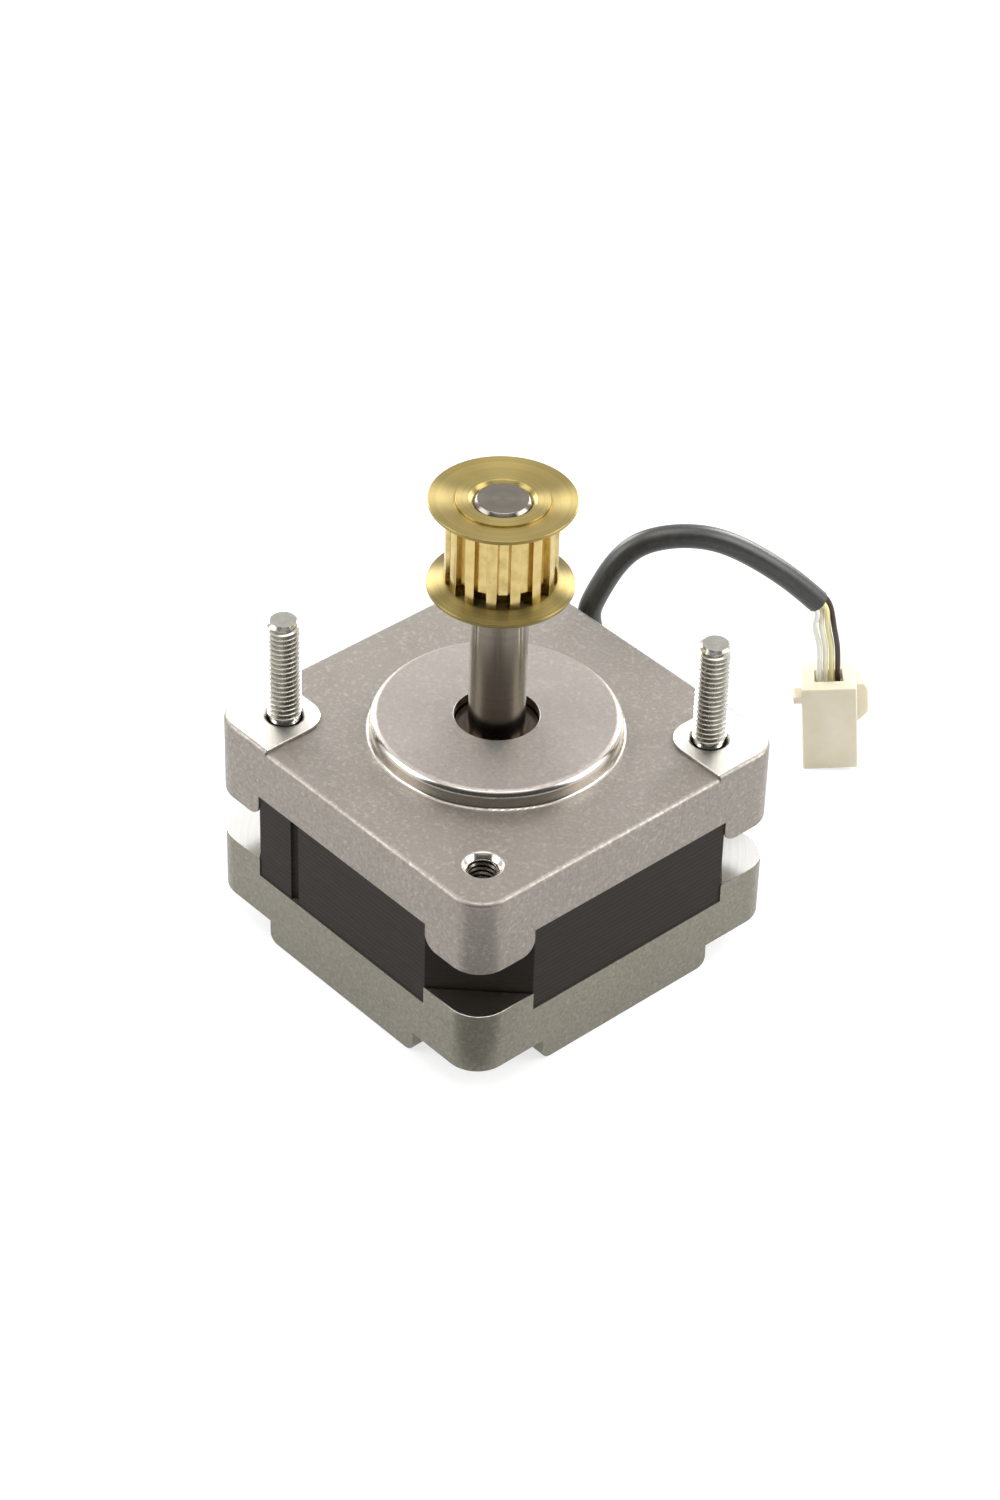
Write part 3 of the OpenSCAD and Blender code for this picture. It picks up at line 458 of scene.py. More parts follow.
class FinishShelf:
    """Every finish of the motor, made once and handed out by name."""

    # Die-cast zinc-aluminium, tumbled: warm grey, speckled with fine grains.
    FRONT_CAST = TumbledCasting("tumbled_cast_alloy_front", "918B84", 0.43, metallic=0.8)
    # The same alloy from another die, a little greener and darker.
    REAR_CAST = TumbledCasting(
        "tumbled_cast_alloy_rear",
        "827E72",
        0.38,
        dark="706C5F",
        light="A6A296",
        metallic=0.8,
    )
    # Freshly milled alloy: nearly white, with the cutter's faint rings.
    MILLED = TurnedMetal(
        "milled_cast_alloy", "F7F5F0", 0.34, shade="E2DED6", ring_mm=0.3, spread=0.2, tint=0.5
    )
    # A milled face that lies before a wall: the same, cut smoother.
    LEDGE = TurnedMetal(
        "smooth_milled_cast_alloy", "FBFAF6", 0.2, shade="EDEAE3", spread=0.1, tint=0.4
    )
    # The boss's rim, turned with a sharp tool: smooth enough to mirror the plate and the room.
    RIM = TurnedMetal(
        "turned_cast_alloy", "C2BCB3", 0.2, shade="B9B3AA", ring_depth_mm=0.001, spread=0.2
    )
    # Freshly cut threads in the casting: bright where they catch light, dark in the depth.
    TAPPED = PlatedSteel("tapped_cast_alloy", "8E877F", 0.24, cloud="6E6760")
    # The boss's top: the same tumbled skin, rubbed paler and a little smoother.
    RUBBED = TumbledCasting(
        "rubbed_cast_alloy",
        "9F9892",
        0.42,
        dark="8C857D",
        light="BFB9B1",
        metallic=0.75,
        pit_depth_mm=0.005,
    )
    # Electrical steel sheets under black varnish: near black with a low, warm sheen.
    STACK = LaminatedSteel("varnished_laminations", "1F1A14", 0.52, edge="2B251D", ior=1.25)
    # Free-cutting brass, turned: yellow with bow-tie highlights on its faces.
    BRASS = TurnedMetal(
        "turned_brass", "9E8D58", 0.38, shade="77673A", ring_mm=0.26, spread=0.88, tint=0.5
    )
    # A darker copy of the same brass for the lower flange: painted shade.
    SHADED_BRASS = TurnedMetal(
        "shaded_brass", "86784A", 0.38, shade="655730", ring_mm=0.26, spread=0.88, tint=0.5
    )
    # Hobbed brass where the teeth are cut: bright and clouded, without rings.
    HOBBED = PlatedSteel("hobbed_brass", "C9B37A", 0.17, cloud="AE9659", cloud_mm=0.9)
    # Centreless-ground steel: a soft dark mirror.
    SHAFT = TurnedMetal(
        "ground_steel", "7E786E", 0.22, shade="6A645A", ring_mm=0.3, ring_depth_mm=0.0015, tint=0.4
    )
    # Bearing steel, ground and lapped: bright and even.
    BEARING = TurnedMetal(
        "lapped_bearing_steel", "CFCCC6", 0.14, shade="B2AFA8", ring_depth_mm=0.001, tint=0.3
    )
    # The same steel darkened with painted shade, as it lies deep in the eye: dark brown, with
    # darker rings.
    SHADED_RACE = TurnedMetal(
        "shaded_bearing_steel", "5B5148", 0.2, shade="2A231D", ring_depth_mm=0.001, tint=0.8
    )
    # The cap's bore, darkened with painted shade where it lies deep round the eye.
    SHADED_BORE = TurnedMetal(
        "shaded_bore_cast_alloy", "4A3E36", 0.34, shade="2E2621", ring_depth_mm=0.001, spread=0.2
    )
    # Pressed shields, darkened to near black with painted shade, as they lie deep in the eye.
    SHIELD = TurnedMetal(
        "shaded_shield_steel", "3A332C", 0.3, shade="2B2520", ring_depth_mm=0.001, spread=0.1
    )
    # Polished steel balls.
    BALLS = PlatedSteel("polished_ball_steel", "D8D6D2", 0.08, cloud="CFCCC8")
    # Zinc-plated steel: a clear pale grey with darker clouds.
    ZINC = PlatedSteel("zinc_plated_steel", "B7B4AB", 0.22, cloud="74716A")
    # Silicon steel with a ground rim: mid grey with the sheets' lines.
    ROTOR = LaminatedSteel("ground_laminations", "8E8E90", 0.34, edge="A9A9AA", metallic=1.0)
    # Sintered magnet: dark grey, fine-grained.
    MAGNET = TumbledCasting(
        "sintered_magnet", "4A4B50", 0.5, dark="3B3C40", light="5A5B60", grain_mm=0.2
    )
    # Copper wire under clear enamel: brown-orange and glossy.
    COPPER = PlatedSteel("enamelled_copper", "B8642F", 0.24, cloud="9A4B20", cloud_mm=0.5)
    # Glass-filled moulding: matt ivory.
    INSULATOR = MouldedPlastic("glass_filled_moulding", "E6E2D4", 0.5, flow="DAD5C4")
    # Circuit board: dark green lacquer over glass cloth.
    BOARD = WovenLaminate("lacquered_glass_laminate", "0F4A28", 0.25)
    # Moulded rubber: black with a dull bloom.
    RUBBER = MouldedPlastic(
        "moulded_rubber", "232323", 0.62, flow="2E2E2D", peel_mm=0.25, peel_depth_mm=0.006, ior=1.52
    )
    # Soft PVC jacket: nearly black satin with drawing lines.
    JACKET = ExtrudedPlastic("satin_pvc_jacket", "272723", 0.38, streak="3D3C37")
    # PVC lead insulation in four colours: glossy, nearly even.
    LEAD_WHITE = ExtrudedPlastic(
        "white_pvc", "EAEAE3", 0.3, streak="DFDFD7", tint=0.3, line_depth_mm=0.002
    )
    LEAD_IVORY = ExtrudedPlastic(
        "ivory_pvc", "E6E2CC", 0.3, streak="D9D4BC", tint=0.3, line_depth_mm=0.002
    )
    LEAD_YELLOW = ExtrudedPlastic(
        "yellow_pvc", "E4DAA0", 0.3, streak="D5C884", tint=0.3, line_depth_mm=0.002
    )
    LEAD_BROWN = ExtrudedPlastic(
        "brown_pvc", "33231A", 0.3, streak="4A3022", tint=0.4, line_depth_mm=0.002
    )
    # Natural nylon: translucent beige that lets light in at its edges.
    NYLON = MouldedPlastic(
        "natural_nylon", "CCC2A8", 0.38, flow="DDD6C3", flow_mm=2.2, glow=0.3, ior=1.53
    )
    # Tin-plated bronze: pale warm metal.
    TIN = PlatedSteel("tin_plated_bronze", "D9D2BC", 0.25, cloud="BFB69A")

    def __init__(self) -> None:
        """Start with no finish made."""
        self._made: dict[str, bpy.types.Material] = {}

    def get(self, finish: Finish) -> bpy.types.Material:
        """Hand out a finish's material, made the first time.

        Args:
            finish: one of the shelf's finishes.

        Returns:
            Its material.
        """
        if finish.name not in self._made:
            self._made[finish.name] = finish.make()
        return self._made[finish.name]


@dataclass(frozen=True)
class Surface:
    """Points in millimetres, the quads that join them and each point's unrolled place."""

    points: np.ndarray
    faces: np.ndarray
    unrolled: np.ndarray

    def moved(self, by: tuple[float, float, float]) -> "Surface":
        """Shift every point by the same vector."""
        return Surface(self.points + np.array(by), self.faces, self.unrolled)


def joined(parts: list[Surface]) -> Surface:
    """Put several surfaces into one, each face's numbers raised by the points before it.

    Args:
        parts: the surfaces.

    Returns:
        One surface with all their points and faces.
    """
    starts = np.cumsum([0] + [len(p.points) for p in parts[:-1]])
    return Surface(
        np.concatenate([p.points for p in parts]),
        np.concatenate([p.faces + s for p, s in zip(parts, starts)]),
        np.concatenate([p.unrolled for p in parts]),
    )


def grid(points: np.ndarray, unrolled: np.ndarray, ring: bool = False) -> Surface:
    """Join a grid of points into quads.

    Point (i, j) has number i * columns + j, and each quad takes it, its neighbour along the
    row, the one above that, and the one above it.

    Args:
        points: an array of rows, columns and the three coordinates, in millimetres.
        unrolled: an array of rows, columns and the two unrolled coordinates.
        ring: whether the last row joins the first one.

    Returns:
        The surface.
    """
    rows, columns = points.shape[:2]
    i = np.arange(rows if ring else rows - 1)[:, None]
    j = np.arange(columns - 1)[None, :]
    a = i * columns + j
    b = (i + 1) % rows * columns + j
    faces = np.stack([a, a + 1, b + 1, b], axis=-1).reshape(-1, 4)
    return Surface(points.reshape(-1, 3), faces, unrolled.reshape(-1, 2))


def softened(corners: list[tuple[float, float]], size: float, steps: int = 4) -> np.ndarray:
    """Round the inner corners of an open profile.

    A corner P with the points A and B on its two sides, each size away but at most 0.45 of the
    side, becomes the parabola (1 - s)^2 A + 2 s (1 - s) P + s^2 B.

    Args:
        corners: the profile's corners.
        size: how far from each corner the curve starts.
        steps: how many pieces each curve has.

    Returns:
        The rounded profile.
    """
    p = np.array(corners, float)
    back, ahead = p[:-2] - p[1:-1], p[2:] - p[1:-1]
    long_back = np.linalg.norm(back, axis=1, keepdims=True)
    long_ahead = np.linalg.norm(ahead, axis=1, keepdims=True)
    a = p[1:-1] + back / long_back * np.minimum(size, 0.45 * long_back)
    b = p[1:-1] + ahead / long_ahead * np.minimum(size, 0.45 * long_ahead)
    s = np.linspace(0, 1, steps + 1)[None, :, None]
    curve = (1 - s) ** 2 * a[:, None] + 2 * s * (1 - s) * p[1:-1, None] + s**2 * b[:, None]
    return np.concatenate([p[:1], curve.reshape(-1, 2), p[-1:]])


def turned(
    profile: np.ndarray, sides: int = 128, axis: Axis = Axis.UP, ring: bool = False
) -> Surface:
    """Turn a profile of radius r and height h: (r cos t, r sin t, h) for t all the way round.

    Args:
        profile: rows of radius and height, in millimetres.
        sides: steps round the axis.
        axis: the direction of the heights.
        ring: whether the profile's last point joins its first.

    Returns:
        The turned surface.
    """
    profile = np.asarray(profile, float)
    t = np.linspace(0, 2 * math.pi, sides + 1)[None, :]
    r, h = profile[:, :1], profile[:, 1:]
    x, y, z = r * np.cos(t), r * np.sin(t), h + 0 * t
    points = np.stack([x, y, z] if axis is Axis.UP else [x, z, y], axis=-1)
    far = np.cumsum(np.r_[0, np.linalg.norm(np.diff(profile, axis=0), axis=1)])
    unrolled = np.stack([r.max() * t + 0 * r, far[:, None] + 0 * t], axis=-1)
    return grid(points, unrolled, ring)


def smooth_route(stops: np.ndarray, spacing: float) -> np.ndarray:
    """Carry a natural cubic spline through the stops, spaced evenly by chord length.

    The second derivatives m solve the usual three-term equations with none at the ends. Between
    two stops p and q, w apart, with v left to go and u gone, the point is
    (m v^3 + n u^3) / 6w + (p / w - m w / 6) v + (q / w - n w / 6) u.

    Args:
        stops: the points passed through, in millimetres.
        spacing: distance between the points of the result.

    Returns:
        The points of the route.
    """
    p = np.asarray(stops, float)
    t = np.r_[0, np.cumsum(np.linalg.norm(np.diff(p, axis=0), axis=1))]
    h = np.diff(t)
    n = len(p)
    terms = np.eye(n)
    i = np.arange(1, n - 1)
    terms[i, i - 1], terms[i, i], terms[i, i + 1] = h[:-1], 2 * (h[:-1] + h[1:]), h[1:]
    slope = np.diff(p, axis=0) / h[:, None]
    bend = np.zeros_like(p)
    bend[1:-1] = 6 * np.diff(slope, axis=0)
    m = np.linalg.solve(terms, bend)
    s = np.linspace(0, t[-1], max(2, round(t[-1] / spacing) + 1))
    k = np.clip(np.searchsorted(t, s, side="right") - 1, 0, n - 2)
    u, v, w = (s - t[k])[:, None], (t[k + 1] - s)[:, None], h[k][:, None]
    return (
        (m[k] * v**3 + m[k + 1] * u**3) / (6 * w)
        + (p[k] / w - m[k] * w / 6) * v
        + (p[k + 1] / w - m[k + 1] * w / 6) * u
    )


def tube(
    route: np.ndarray,
    radii: np.ndarray,
    across: tuple[float, float, float],
    sides: int,
    heading: np.ndarray | None = None,
) -> Surface:
    """Carry a circle along a route.

    With the heading f and a fixed direction c that f never meets, a = f x c and b = f x a, both
    made unit long, and the ring is P + r (a cos t + b sin t). Both ends close on their centres.

    Args:
        route: the ring centres, in millimetres.
        radii: the radius at each centre.
        across: the fixed direction.
        sides: steps round the tube.
        heading: the direction at each centre, where it isn't the route's own.

    Returns:
        The closed tube.
    """
    far = np.r_[0, np.cumsum(np.linalg.norm(np.diff(route, axis=0), axis=1))]
    if heading is None:
        heading = np.gradient(route, far, axis=0)
    heading = heading / np.linalg.norm(heading, axis=1, keepdims=True)
    a = np.cross(heading, np.array(across, float))
    a /= np.linalg.norm(a, axis=1, keepdims=True)
    b = np.cross(heading, a)
    centre, a, b = (np.concatenate([d[:1], d, d[-1:]]) for d in (route, a, b))
    r = np.r_[0.0, radii, 0.0][:, None, None]
    t = np.linspace(0, 2 * math.pi, sides + 1)[None, :, None]
    points = centre[:, None] + r * (a[:, None] * np.cos(t) + b[:, None] * np.sin(t))
    far = np.r_[far[:1], far, far[-1:]][:, None]
    unrolled = np.stack([radii.max() * t[..., 0] + 0 * far, far + 0 * t[..., 0]], axis=-1)
    return grid(points, unrolled)


@dataclass(frozen=True)
class Thread:
    """A right-hand screw thread with flat crests and roots, cut off square at its ends."""

    crest: float
    root: float
    low: float
    high: float
    pitch: float = 0.5
    end: float = 0.35
    sides: int = 40

    def sheared(self) -> tuple[np.ndarray, np.ndarray, np.ndarray]:
        """Work out the radius, height and angle of every point.

        The thread's section is an eighth of a pitch of crest, a quarter of root and two straight
        flanks. Its points lie at z = pitch (s + t / 2 pi), so each turn meets the next, and z is
        held between the two ends.

        Returns:
            The arrays of radii, heights and angles.
        """
        first = math.floor(self.low / self.pitch) - 2
        last = math.ceil(self.high / self.pitch) + 1
        shares = np.array([0.0, 0.125, 0.4375, 0.6875])
        s = (np.arange(first, last)[:, None] + shares).reshape(-1, 1)
        r = np.tile([self.crest, self.crest, self.root, self.root], last - first)[:, None]
        t = np.linspace(0, 2 * math.pi, self.sides + 1)[None, :]
        z = np.clip(self.pitch * (s + t / (2 * math.pi)), self.low, self.high)
        return r + 0 * t, z, t + 0 * s

    def outer(self) -> Surface:
        """Build the thread of a screw.

        Near each end the radius is at most the tip's plus the distance from that end, which
        makes a 45 degree chamfer, and both ends close on the axis.

        Returns:
            The closed shank.
        """
        r, z, t = self.sheared()
        tip = self.crest - self.end
        r = np.minimum(r, tip + np.minimum(z - self.low, self.high - z))
        r, z, t = (np.concatenate([a[:1], a, a[-1:]]) for a in (r, z, t))
        r[0], r[-1] = 0.0, 0.0
        points = np.stack([r * np.cos(t), r * np.sin(t), z], axis=-1)
        return grid(points, np.stack([t, z], axis=-1))

    def inner(self) -> Surface:
        """Build the thread of a hole as a thin sleeve whose crests point inwards.

        Near each end the radius is at least the root's less the distance from that end, and
        the last row joins the first one by the sleeve's plain back.

        Returns:
            The closed sleeve.
        """
        r, z, t = self.sheared()
        r = np.maximum(r, self.root - np.minimum(z - self.low, self.high - z))
        points = np.stack([r * np.cos(t), r * np.sin(t), z], axis=-1)
        return grid(points, np.stack([t, z], axis=-1), ring=True)


def finished(
    name: str,
    mesh: bpy.types.Mesh,
    materials: list[bpy.types.Material],
    slot: str,
    body: Body,
    stands_for: tuple[str, ...] = (),
    sharp: float = 35.0,
) -> bpy.types.Object:
    """Make an object of a mesh, smooth it, colour it and set it on its body.

    Args:
        name: the piece's name.
        mesh: its mesh, in metres.
        materials: its materials, in the order of the mesh's numbers.
        slot: the record's slot for its finish; not used.
        body: the body that it rides on.
        stands_for: the solids that it replaces.
        sharp: angle in degrees above which an edge stays sharp.

    Returns:
        The piece.
    """
    mesh.shade_smooth()
    mesh.set_sharp_from_angle(angle=math.radians(sharp))
    mesh.materials.clear()
    for material in materials:
        mesh.materials.append(material)
    piece = placed(name, mesh)
    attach(piece, body.value)
    if stands_for:
        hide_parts(*stands_for)
    LOG.info("%s: %d faces", name, len(mesh.polygons))
    return piece


def mesh_of(name: str, surface: Surface) -> bpy.types.Mesh:
    """Put a surface into a mesh, weld its seams and poles, and point its faces outwards.

    Args:
        name: the mesh's name.
        surface: the surface, in millimetres.

    Returns:
        The mesh, in metres.
    """
    mesh = bpy.data.meshes.new(name)
    mesh.from_pydata((surface.points * MM).tolist(), [], surface.faces.tolist())
    layer = mesh.uv_layers.new(name=UNROLLED)
    corners = np.empty(len(mesh.loops), dtype=np.int32)
    mesh.loops.foreach_get("vertex_index", corners)
    layer.data.foreach_set("uv", surface.unrolled[corners].astype(np.float32).ravel())
    work = bmesh.new()
    work.from_mesh(mesh)
    bmesh.ops.remove_doubles(work, verts=work.verts, dist=WELD)
    bmesh.ops.dissolve_degenerate(work, edges=work.edges, dist=WELD)
    bmesh.ops.recalc_face_normals(work, faces=work.faces)
    work.to_mesh(mesh)
    work.free()
    return mesh


def ease_edges(
    work: bmesh.types.BMesh,
    chosen: Callable[[np.ndarray], np.ndarray | None],
    width: float,
    segments: int,
) -> None:
    """Round the outward edges of a mesh that a test picks.

    Args:
        work: the mesh, in metres.
        chosen: says which edges to round, by their middles in millimetres; None means all.
        width: width of the rounding, in millimetres.
        segments: steps across it.
    """
    work.normal_update()
    edges = [
        e
        for e in work.edges
        if e.is_convex and SHARP < e.calc_face_angle(0) < KNIFE and e.calc_length() > TINY
    ]
    middles = np.array([(e.verts[0].co + e.verts[1].co) / 2 for e in edges]) / MM
    picked = chosen(middles)
    if picked is not None:
        edges = [e for e, taken in zip(edges, picked) if taken]
    bmesh.ops.bevel(
        work,
        geom=edges,
        offset=width * MM,
        offset_type="OFFSET",
        segments=segments,
        profile=0.5,
        affect="EDGES",
        clamp_overlap=False,
        miter_outer="ARC",
    )


def eased(
    node: str,
    name: str,
    materials: list[bpy.types.Material],
    slot: str,
    body: Body,
    width: float,
    segments: int = 3,
    spared: Callable[[np.ndarray], np.ndarray] | None = None,
    softer: tuple[Callable[[np.ndarray], np.ndarray], float, int] | None = None,
    moved: Callable[[np.ndarray], np.ndarray] | None = None,
) -> bpy.types.Object:
    """Copy a solid, merge its loose triangles into clean faces and ease its outward edges.

    Args:
        node: the solid's name.
        name: the piece's name.
        materials: its materials.
        slot: the record's slot for its finish.
        body: the body that it rides on.
        width: width of the eased edges, in millimetres.
        segments: steps across an eased edge.
        spared: picks the edges that stay as they are, by their middles in millimetres.
        softer: picks edges that are eased first, with their own width and steps.
        moved: shifts the solid's points, in millimetres, before any edge is eased.

    Returns:
        The piece, which stands for the solid.
    """
    work = bmesh.new()
    work.from_mesh(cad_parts[node].data)
    for layer in list(work.loops.layers.float_vector.values()):
        work.loops.layers.float_vector.remove(layer)
    bmesh.ops.remove_doubles(work, verts=work.verts, dist=MERGE)
    bmesh.ops.dissolve_degenerate(work, edges=work.edges, dist=MERGE)
    bmesh.ops.dissolve_limit(work, angle_limit=FLAT, verts=work.verts, edges=work.edges)
    mesh = bpy.data.meshes.new(name)
    if moved is not None:
        work.to_mesh(mesh)
        points = np.empty(3 * len(mesh.vertices))
        mesh.vertices.foreach_get("co", points)
        points = moved(points.reshape(-1, 3) / MM) * MM
        mesh.vertices.foreach_set("co", points.ravel())
        work.clear()
        work.from_mesh(mesh)
    if softer is not None:
        picker, soft_width, soft_segments = softer
        ease_edges(work, picker, soft_width, soft_segments)
    ease_edges(work, lambda middles: ~spared(middles) if spared else None, width, segments)
    work.to_mesh(mesh)
    work.free()
    for attribute in [a.name for a in mesh.attributes if a.name == "custom_normal"]:
        mesh.attributes.remove(mesh.attributes[attribute])
    piece = finished(name, mesh, materials, slot, body, (node,))
    level = piece.modifiers.new("flat_faces_lead", "WEIGHTED_NORMAL")
    level.keep_sharp = True
    level.weight = 100
    return piece


def paint(material: bpy.types.Material, *nodes: str) -> None:
    """Give carried-over solids their finish.

    Args:
        material: the finish.
        *nodes: the solids' names.
    """
    for node in nodes:
        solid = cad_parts[node]
        if not solid.material_slots:
            solid.data.materials.append(material)
        for slot in solid.material_slots:
            slot.material = material
        LOG.info("%s: painted %s", node, material.name)


def pick_faces(
    piece: bpy.types.Object,
    number: int,
    chosen: Callable[[np.ndarray, np.ndarray], np.ndarray],
) -> None:
    """Give a material number to the faces that a test picks by their centres and normals.

    Args:
        piece: the piece.
        number: the material's number.
        chosen: a function of the centres, in millimetres, and the normals.
    """
    faces = piece.data.polygons
    centre = np.empty(3 * len(faces))
    normal = np.empty(3 * len(faces))
    old = np.empty(len(faces), dtype=np.int32)
    faces.foreach_get("center", centre)
    faces.foreach_get("normal", normal)
    faces.foreach_get("material_index", old)
    picked = chosen(centre.reshape(-1, 3) / MM, normal.reshape(-1, 3))
    faces.foreach_set("material_index", np.where(picked, number, old).astype(np.int32))


def set_axes(thing: bpy.types.Object, *columns: np.ndarray | tuple[float, float, float]) -> None:
    """Give an object its own x, y and z directions and its place, in that order."""
    thing.matrix_world = Matrix(np.column_stack(columns).tolist() + [[0, 0, 0, 1]])


def from_axis(points: np.ndarray) -> np.ndarray:
    """Say how far each point lies from the upright axis."""
    return np.hypot(points[:, 0], points[:, 1])


@dataclass(frozen=True)
class Camera:
    """The photographer's camera, solved from the motor's own edges."""

    place: tuple[float, float, float] = (0.200588, -0.184279, 0.232414)
    right: tuple[float, float, float] = (0.66347, 0.74783, 0.02380)
    up: tuple[float, float, float] = (-0.47469, 0.39613, 0.78598)
    back: tuple[float, float, float] = (0.57834, -0.53276, 0.61781)
    lens: float = 95.721
    film: float = 36.0

    def build(self) -> None:
        """Set the camera up and make it the scene's."""
        data = bpy.data.cameras.new("view")
        data.sensor_fit = "AUTO"
        data.sensor_width = self.film
        data.lens = self.lens
        data.clip_start = 0.01
        data.clip_end = 20.0
        camera = placed("view", data)
        set_axes(camera, self.right, self.up, self.back, self.place)
        bpy.context.scene.camera = camera


@dataclass(frozen=True)
class Lamp:
    """One soft lamp, aimed at the motor; angles are in degrees and lengths in metres."""

    name: str
    azimuth: float
    height: float
    far: float
    wide: float
    tall: float
    watts: float

    def build(self, aim: tuple[float, float, float]) -> None:
        """Hang the lamp at its angles round the aim.

        Args:
            aim: the point that it faces, in metres.
        """
        data = bpy.data.lights.new(self.name, "AREA")
        data.shape = "RECTANGLE"
        data.size, data.size_y = self.wide, self.tall
        data.energy = self.watts
        lamp = placed(self.name, data)
        turn, rise = math.radians(self.azimuth), math.radians(self.height)
        way = np.array(
            [math.cos(turn) * math.cos(rise), math.sin(turn) * math.cos(rise), math.sin(rise)]
        )
        side = np.cross([0.0, 0.0, 1.0], way)
        side /= np.linalg.norm(side)
        set_axes(lamp, side, np.cross(way, side), way, np.array(aim) + self.far * way)


@dataclass(frozen=True)
class DarkPart:
    """A mat or screen that darkens reflections and that nothing else sees.

    It is a strip round the motor: a point at radius r, height z and angle t lies at
    (r cos t, r sin t, z). Its field half is the angle that it reaches to either side, in
    degrees, and low and high are the radius and height of its two edges, in metres.
    """

    name: str
    half: float
    low: tuple[float, float]
    high: tuple[float, float]
    glow: float
    steps: int = 24
    # It stands this far above its two heights, clear of the floor.
    lift: float = 0.01 * MM

    def build(self, side: float) -> None:
        """Set the strip up.

        Args:
            side: the angle of its middle, in degrees.
        """
        middle, half = math.radians(side), math.radians(self.half)
        t = np.linspace(middle - half, middle + half, self.steps + 1)[None, :]
        ends = np.array([self.low, self.high])
        r, z = ends[:, :1], ends[:, 1:] + self.lift
        points = np.stack([r * np.cos(t), r * np.sin(t), z + 0 * t], axis=-1)
        sheet = grid(points, points[..., :2])
        mesh = bpy.data.meshes.new(self.name)
        mesh.from_pydata(sheet.points.tolist(), [], sheet.faces.tolist())
        part = placed(self.name, mesh)
        material = bpy.data.materials.new(self.name + "_cloth")
        tree = fresh_tree(material)
        cloth = add_node(tree, "Emission", {"Color": linear("FFFFFF"), "Strength": self.glow})
        add_node(tree, "OutputMaterial", {"Surface": cloth.outputs[0]})
        mesh.materials.append(material)
        part.visible_camera = False
        part.visible_diffuse = False
        part.visible_shadow = False
        part.visible_transmission = False


@dataclass(frozen=True)
class Studio:
    """A white tent: bright above and on both sides, with a dark gap where the camera stands."""

    aim: tuple[float, float, float] = (0.0, 0.004, 0.018)
    camera_side: float = -42.65
    dark_parts: tuple[DarkPart, ...] = (
        DarkPart("grey_mat", 27.0, (0.026, 0.0), (0.05, 0.0), 0.35),
        DarkPart("dark_screen", 62.0, (0.62, 0.0), (0.62, 0.85), 0.08),
    )
    lamps: tuple[Lamp, ...] = (
        Lamp("lamp_above", 137.0, 89.0, 0.55, 0.4, 0.4, 1.6),
        Lamp("lamp_left", -128.0, 32.0, 0.6, 0.35, 0.4, 1.8),
        Lamp("lamp_right", 45.0, 32.0, 0.6, 0.35, 0.4, 2.5),
        Lamp("lamp_back_left", 172.0, 20.0, 0.6, 0.25, 0.3, 2.5),
        Lamp("lamp_back_right", 102.0, 20.0, 0.6, 0.25, 0.3, 2.7),
    )
    fill: float = 0.55
    floor_half: float = 1.5
    floor_glow: float = 0.72
    floor_drop: float = 0.02 * MM
    # The paper as other light meets it, and as the view, a gloss or a clear body sees it.
    paper: str = "E8E8E8"
    seen_paper: str = "9A9A9A"

    def build(self) -> None:
        """Hang the lamps, light the room, lay the floor and set up the dark parts."""
        for lamp in self.lamps:
            lamp.build(self.aim)
        self.light_room()
        self.lay_floor()
        for part in self.dark_parts:
            part.build(self.camera_side)

    def seen_rays(self, tree: bpy.types.NodeTree) -> bpy.types.NodeSocket:
        """Say whether a ray comes from the view, a gloss or a clear body.

        Args:
            tree: the nodes to add to.

        Returns:
            One for such a ray and nought for any other.
        """
        ray = add_node(tree, "LightPath").outputs
        seen = ray["Is Camera Ray"]
        for other in ("Is Glossy Ray", "Is Transmission Ray"):
            seen = add_node(tree, "Math", {0: seen, 1: ray[other]}, operation="MAXIMUM").outputs[0]
        return seen

    def light_room(self) -> None:
        """Make the room white to look at and softly bright for everything else."""
        world = bpy.data.worlds.new("tent")
        tree = fresh_tree(world)
        white = add_node(tree, "Background", {"Color": linear("FFFFFF"), "Strength": 1.0})
        soft = add_node(tree, "Background", {"Color": linear("FFFFFF"), "Strength": self.fill})
        choice = {0: self.seen_rays(tree), 1: soft.outputs[0], 2: white.outputs[0]}
        both = add_node(tree, "MixShader", choice)
        add_node(tree, "OutputWorld", {"Surface": both.outputs[0]})
        bpy.context.scene.world = world

    def lay_floor(self) -> None:
        """Lay a pale floor that looks white and keeps the motor's shadow."""
        half = self.floor_half
        corners = [(-half, -half, 0), (half, -half, 0), (half, half, 0), (-half, half, 0)]
        mesh = bpy.data.meshes.new("floor")
        mesh.from_pydata(corners, [], [(0, 1, 2, 3)])
        floor = placed("floor", mesh)
        floor.location.z = -self.floor_drop
        material = bpy.data.materials.new("white_paper")
        tree = fresh_tree(material)
        pale = add_node(tree, "BsdfDiffuse", {"Color": linear(self.seen_paper)})
        glow = add_node(tree, "Emission", {"Color": linear("FFFFFF"), "Strength": self.floor_glow})
        shown = add_node(tree, "AddShader", {0: pale.outputs[0], 1: glow.outputs[0]})
        plain = add_node(tree, "BsdfDiffuse", {"Color": linear(self.paper)})
        choice = {0: self.seen_rays(tree), 1: plain.outputs[0], 2: shown.outputs[0]}
        both = add_node(tree, "MixShader", choice)
        add_node(tree, "OutputMaterial", {"Surface": both.outputs[0]})
        mesh.materials.append(material)


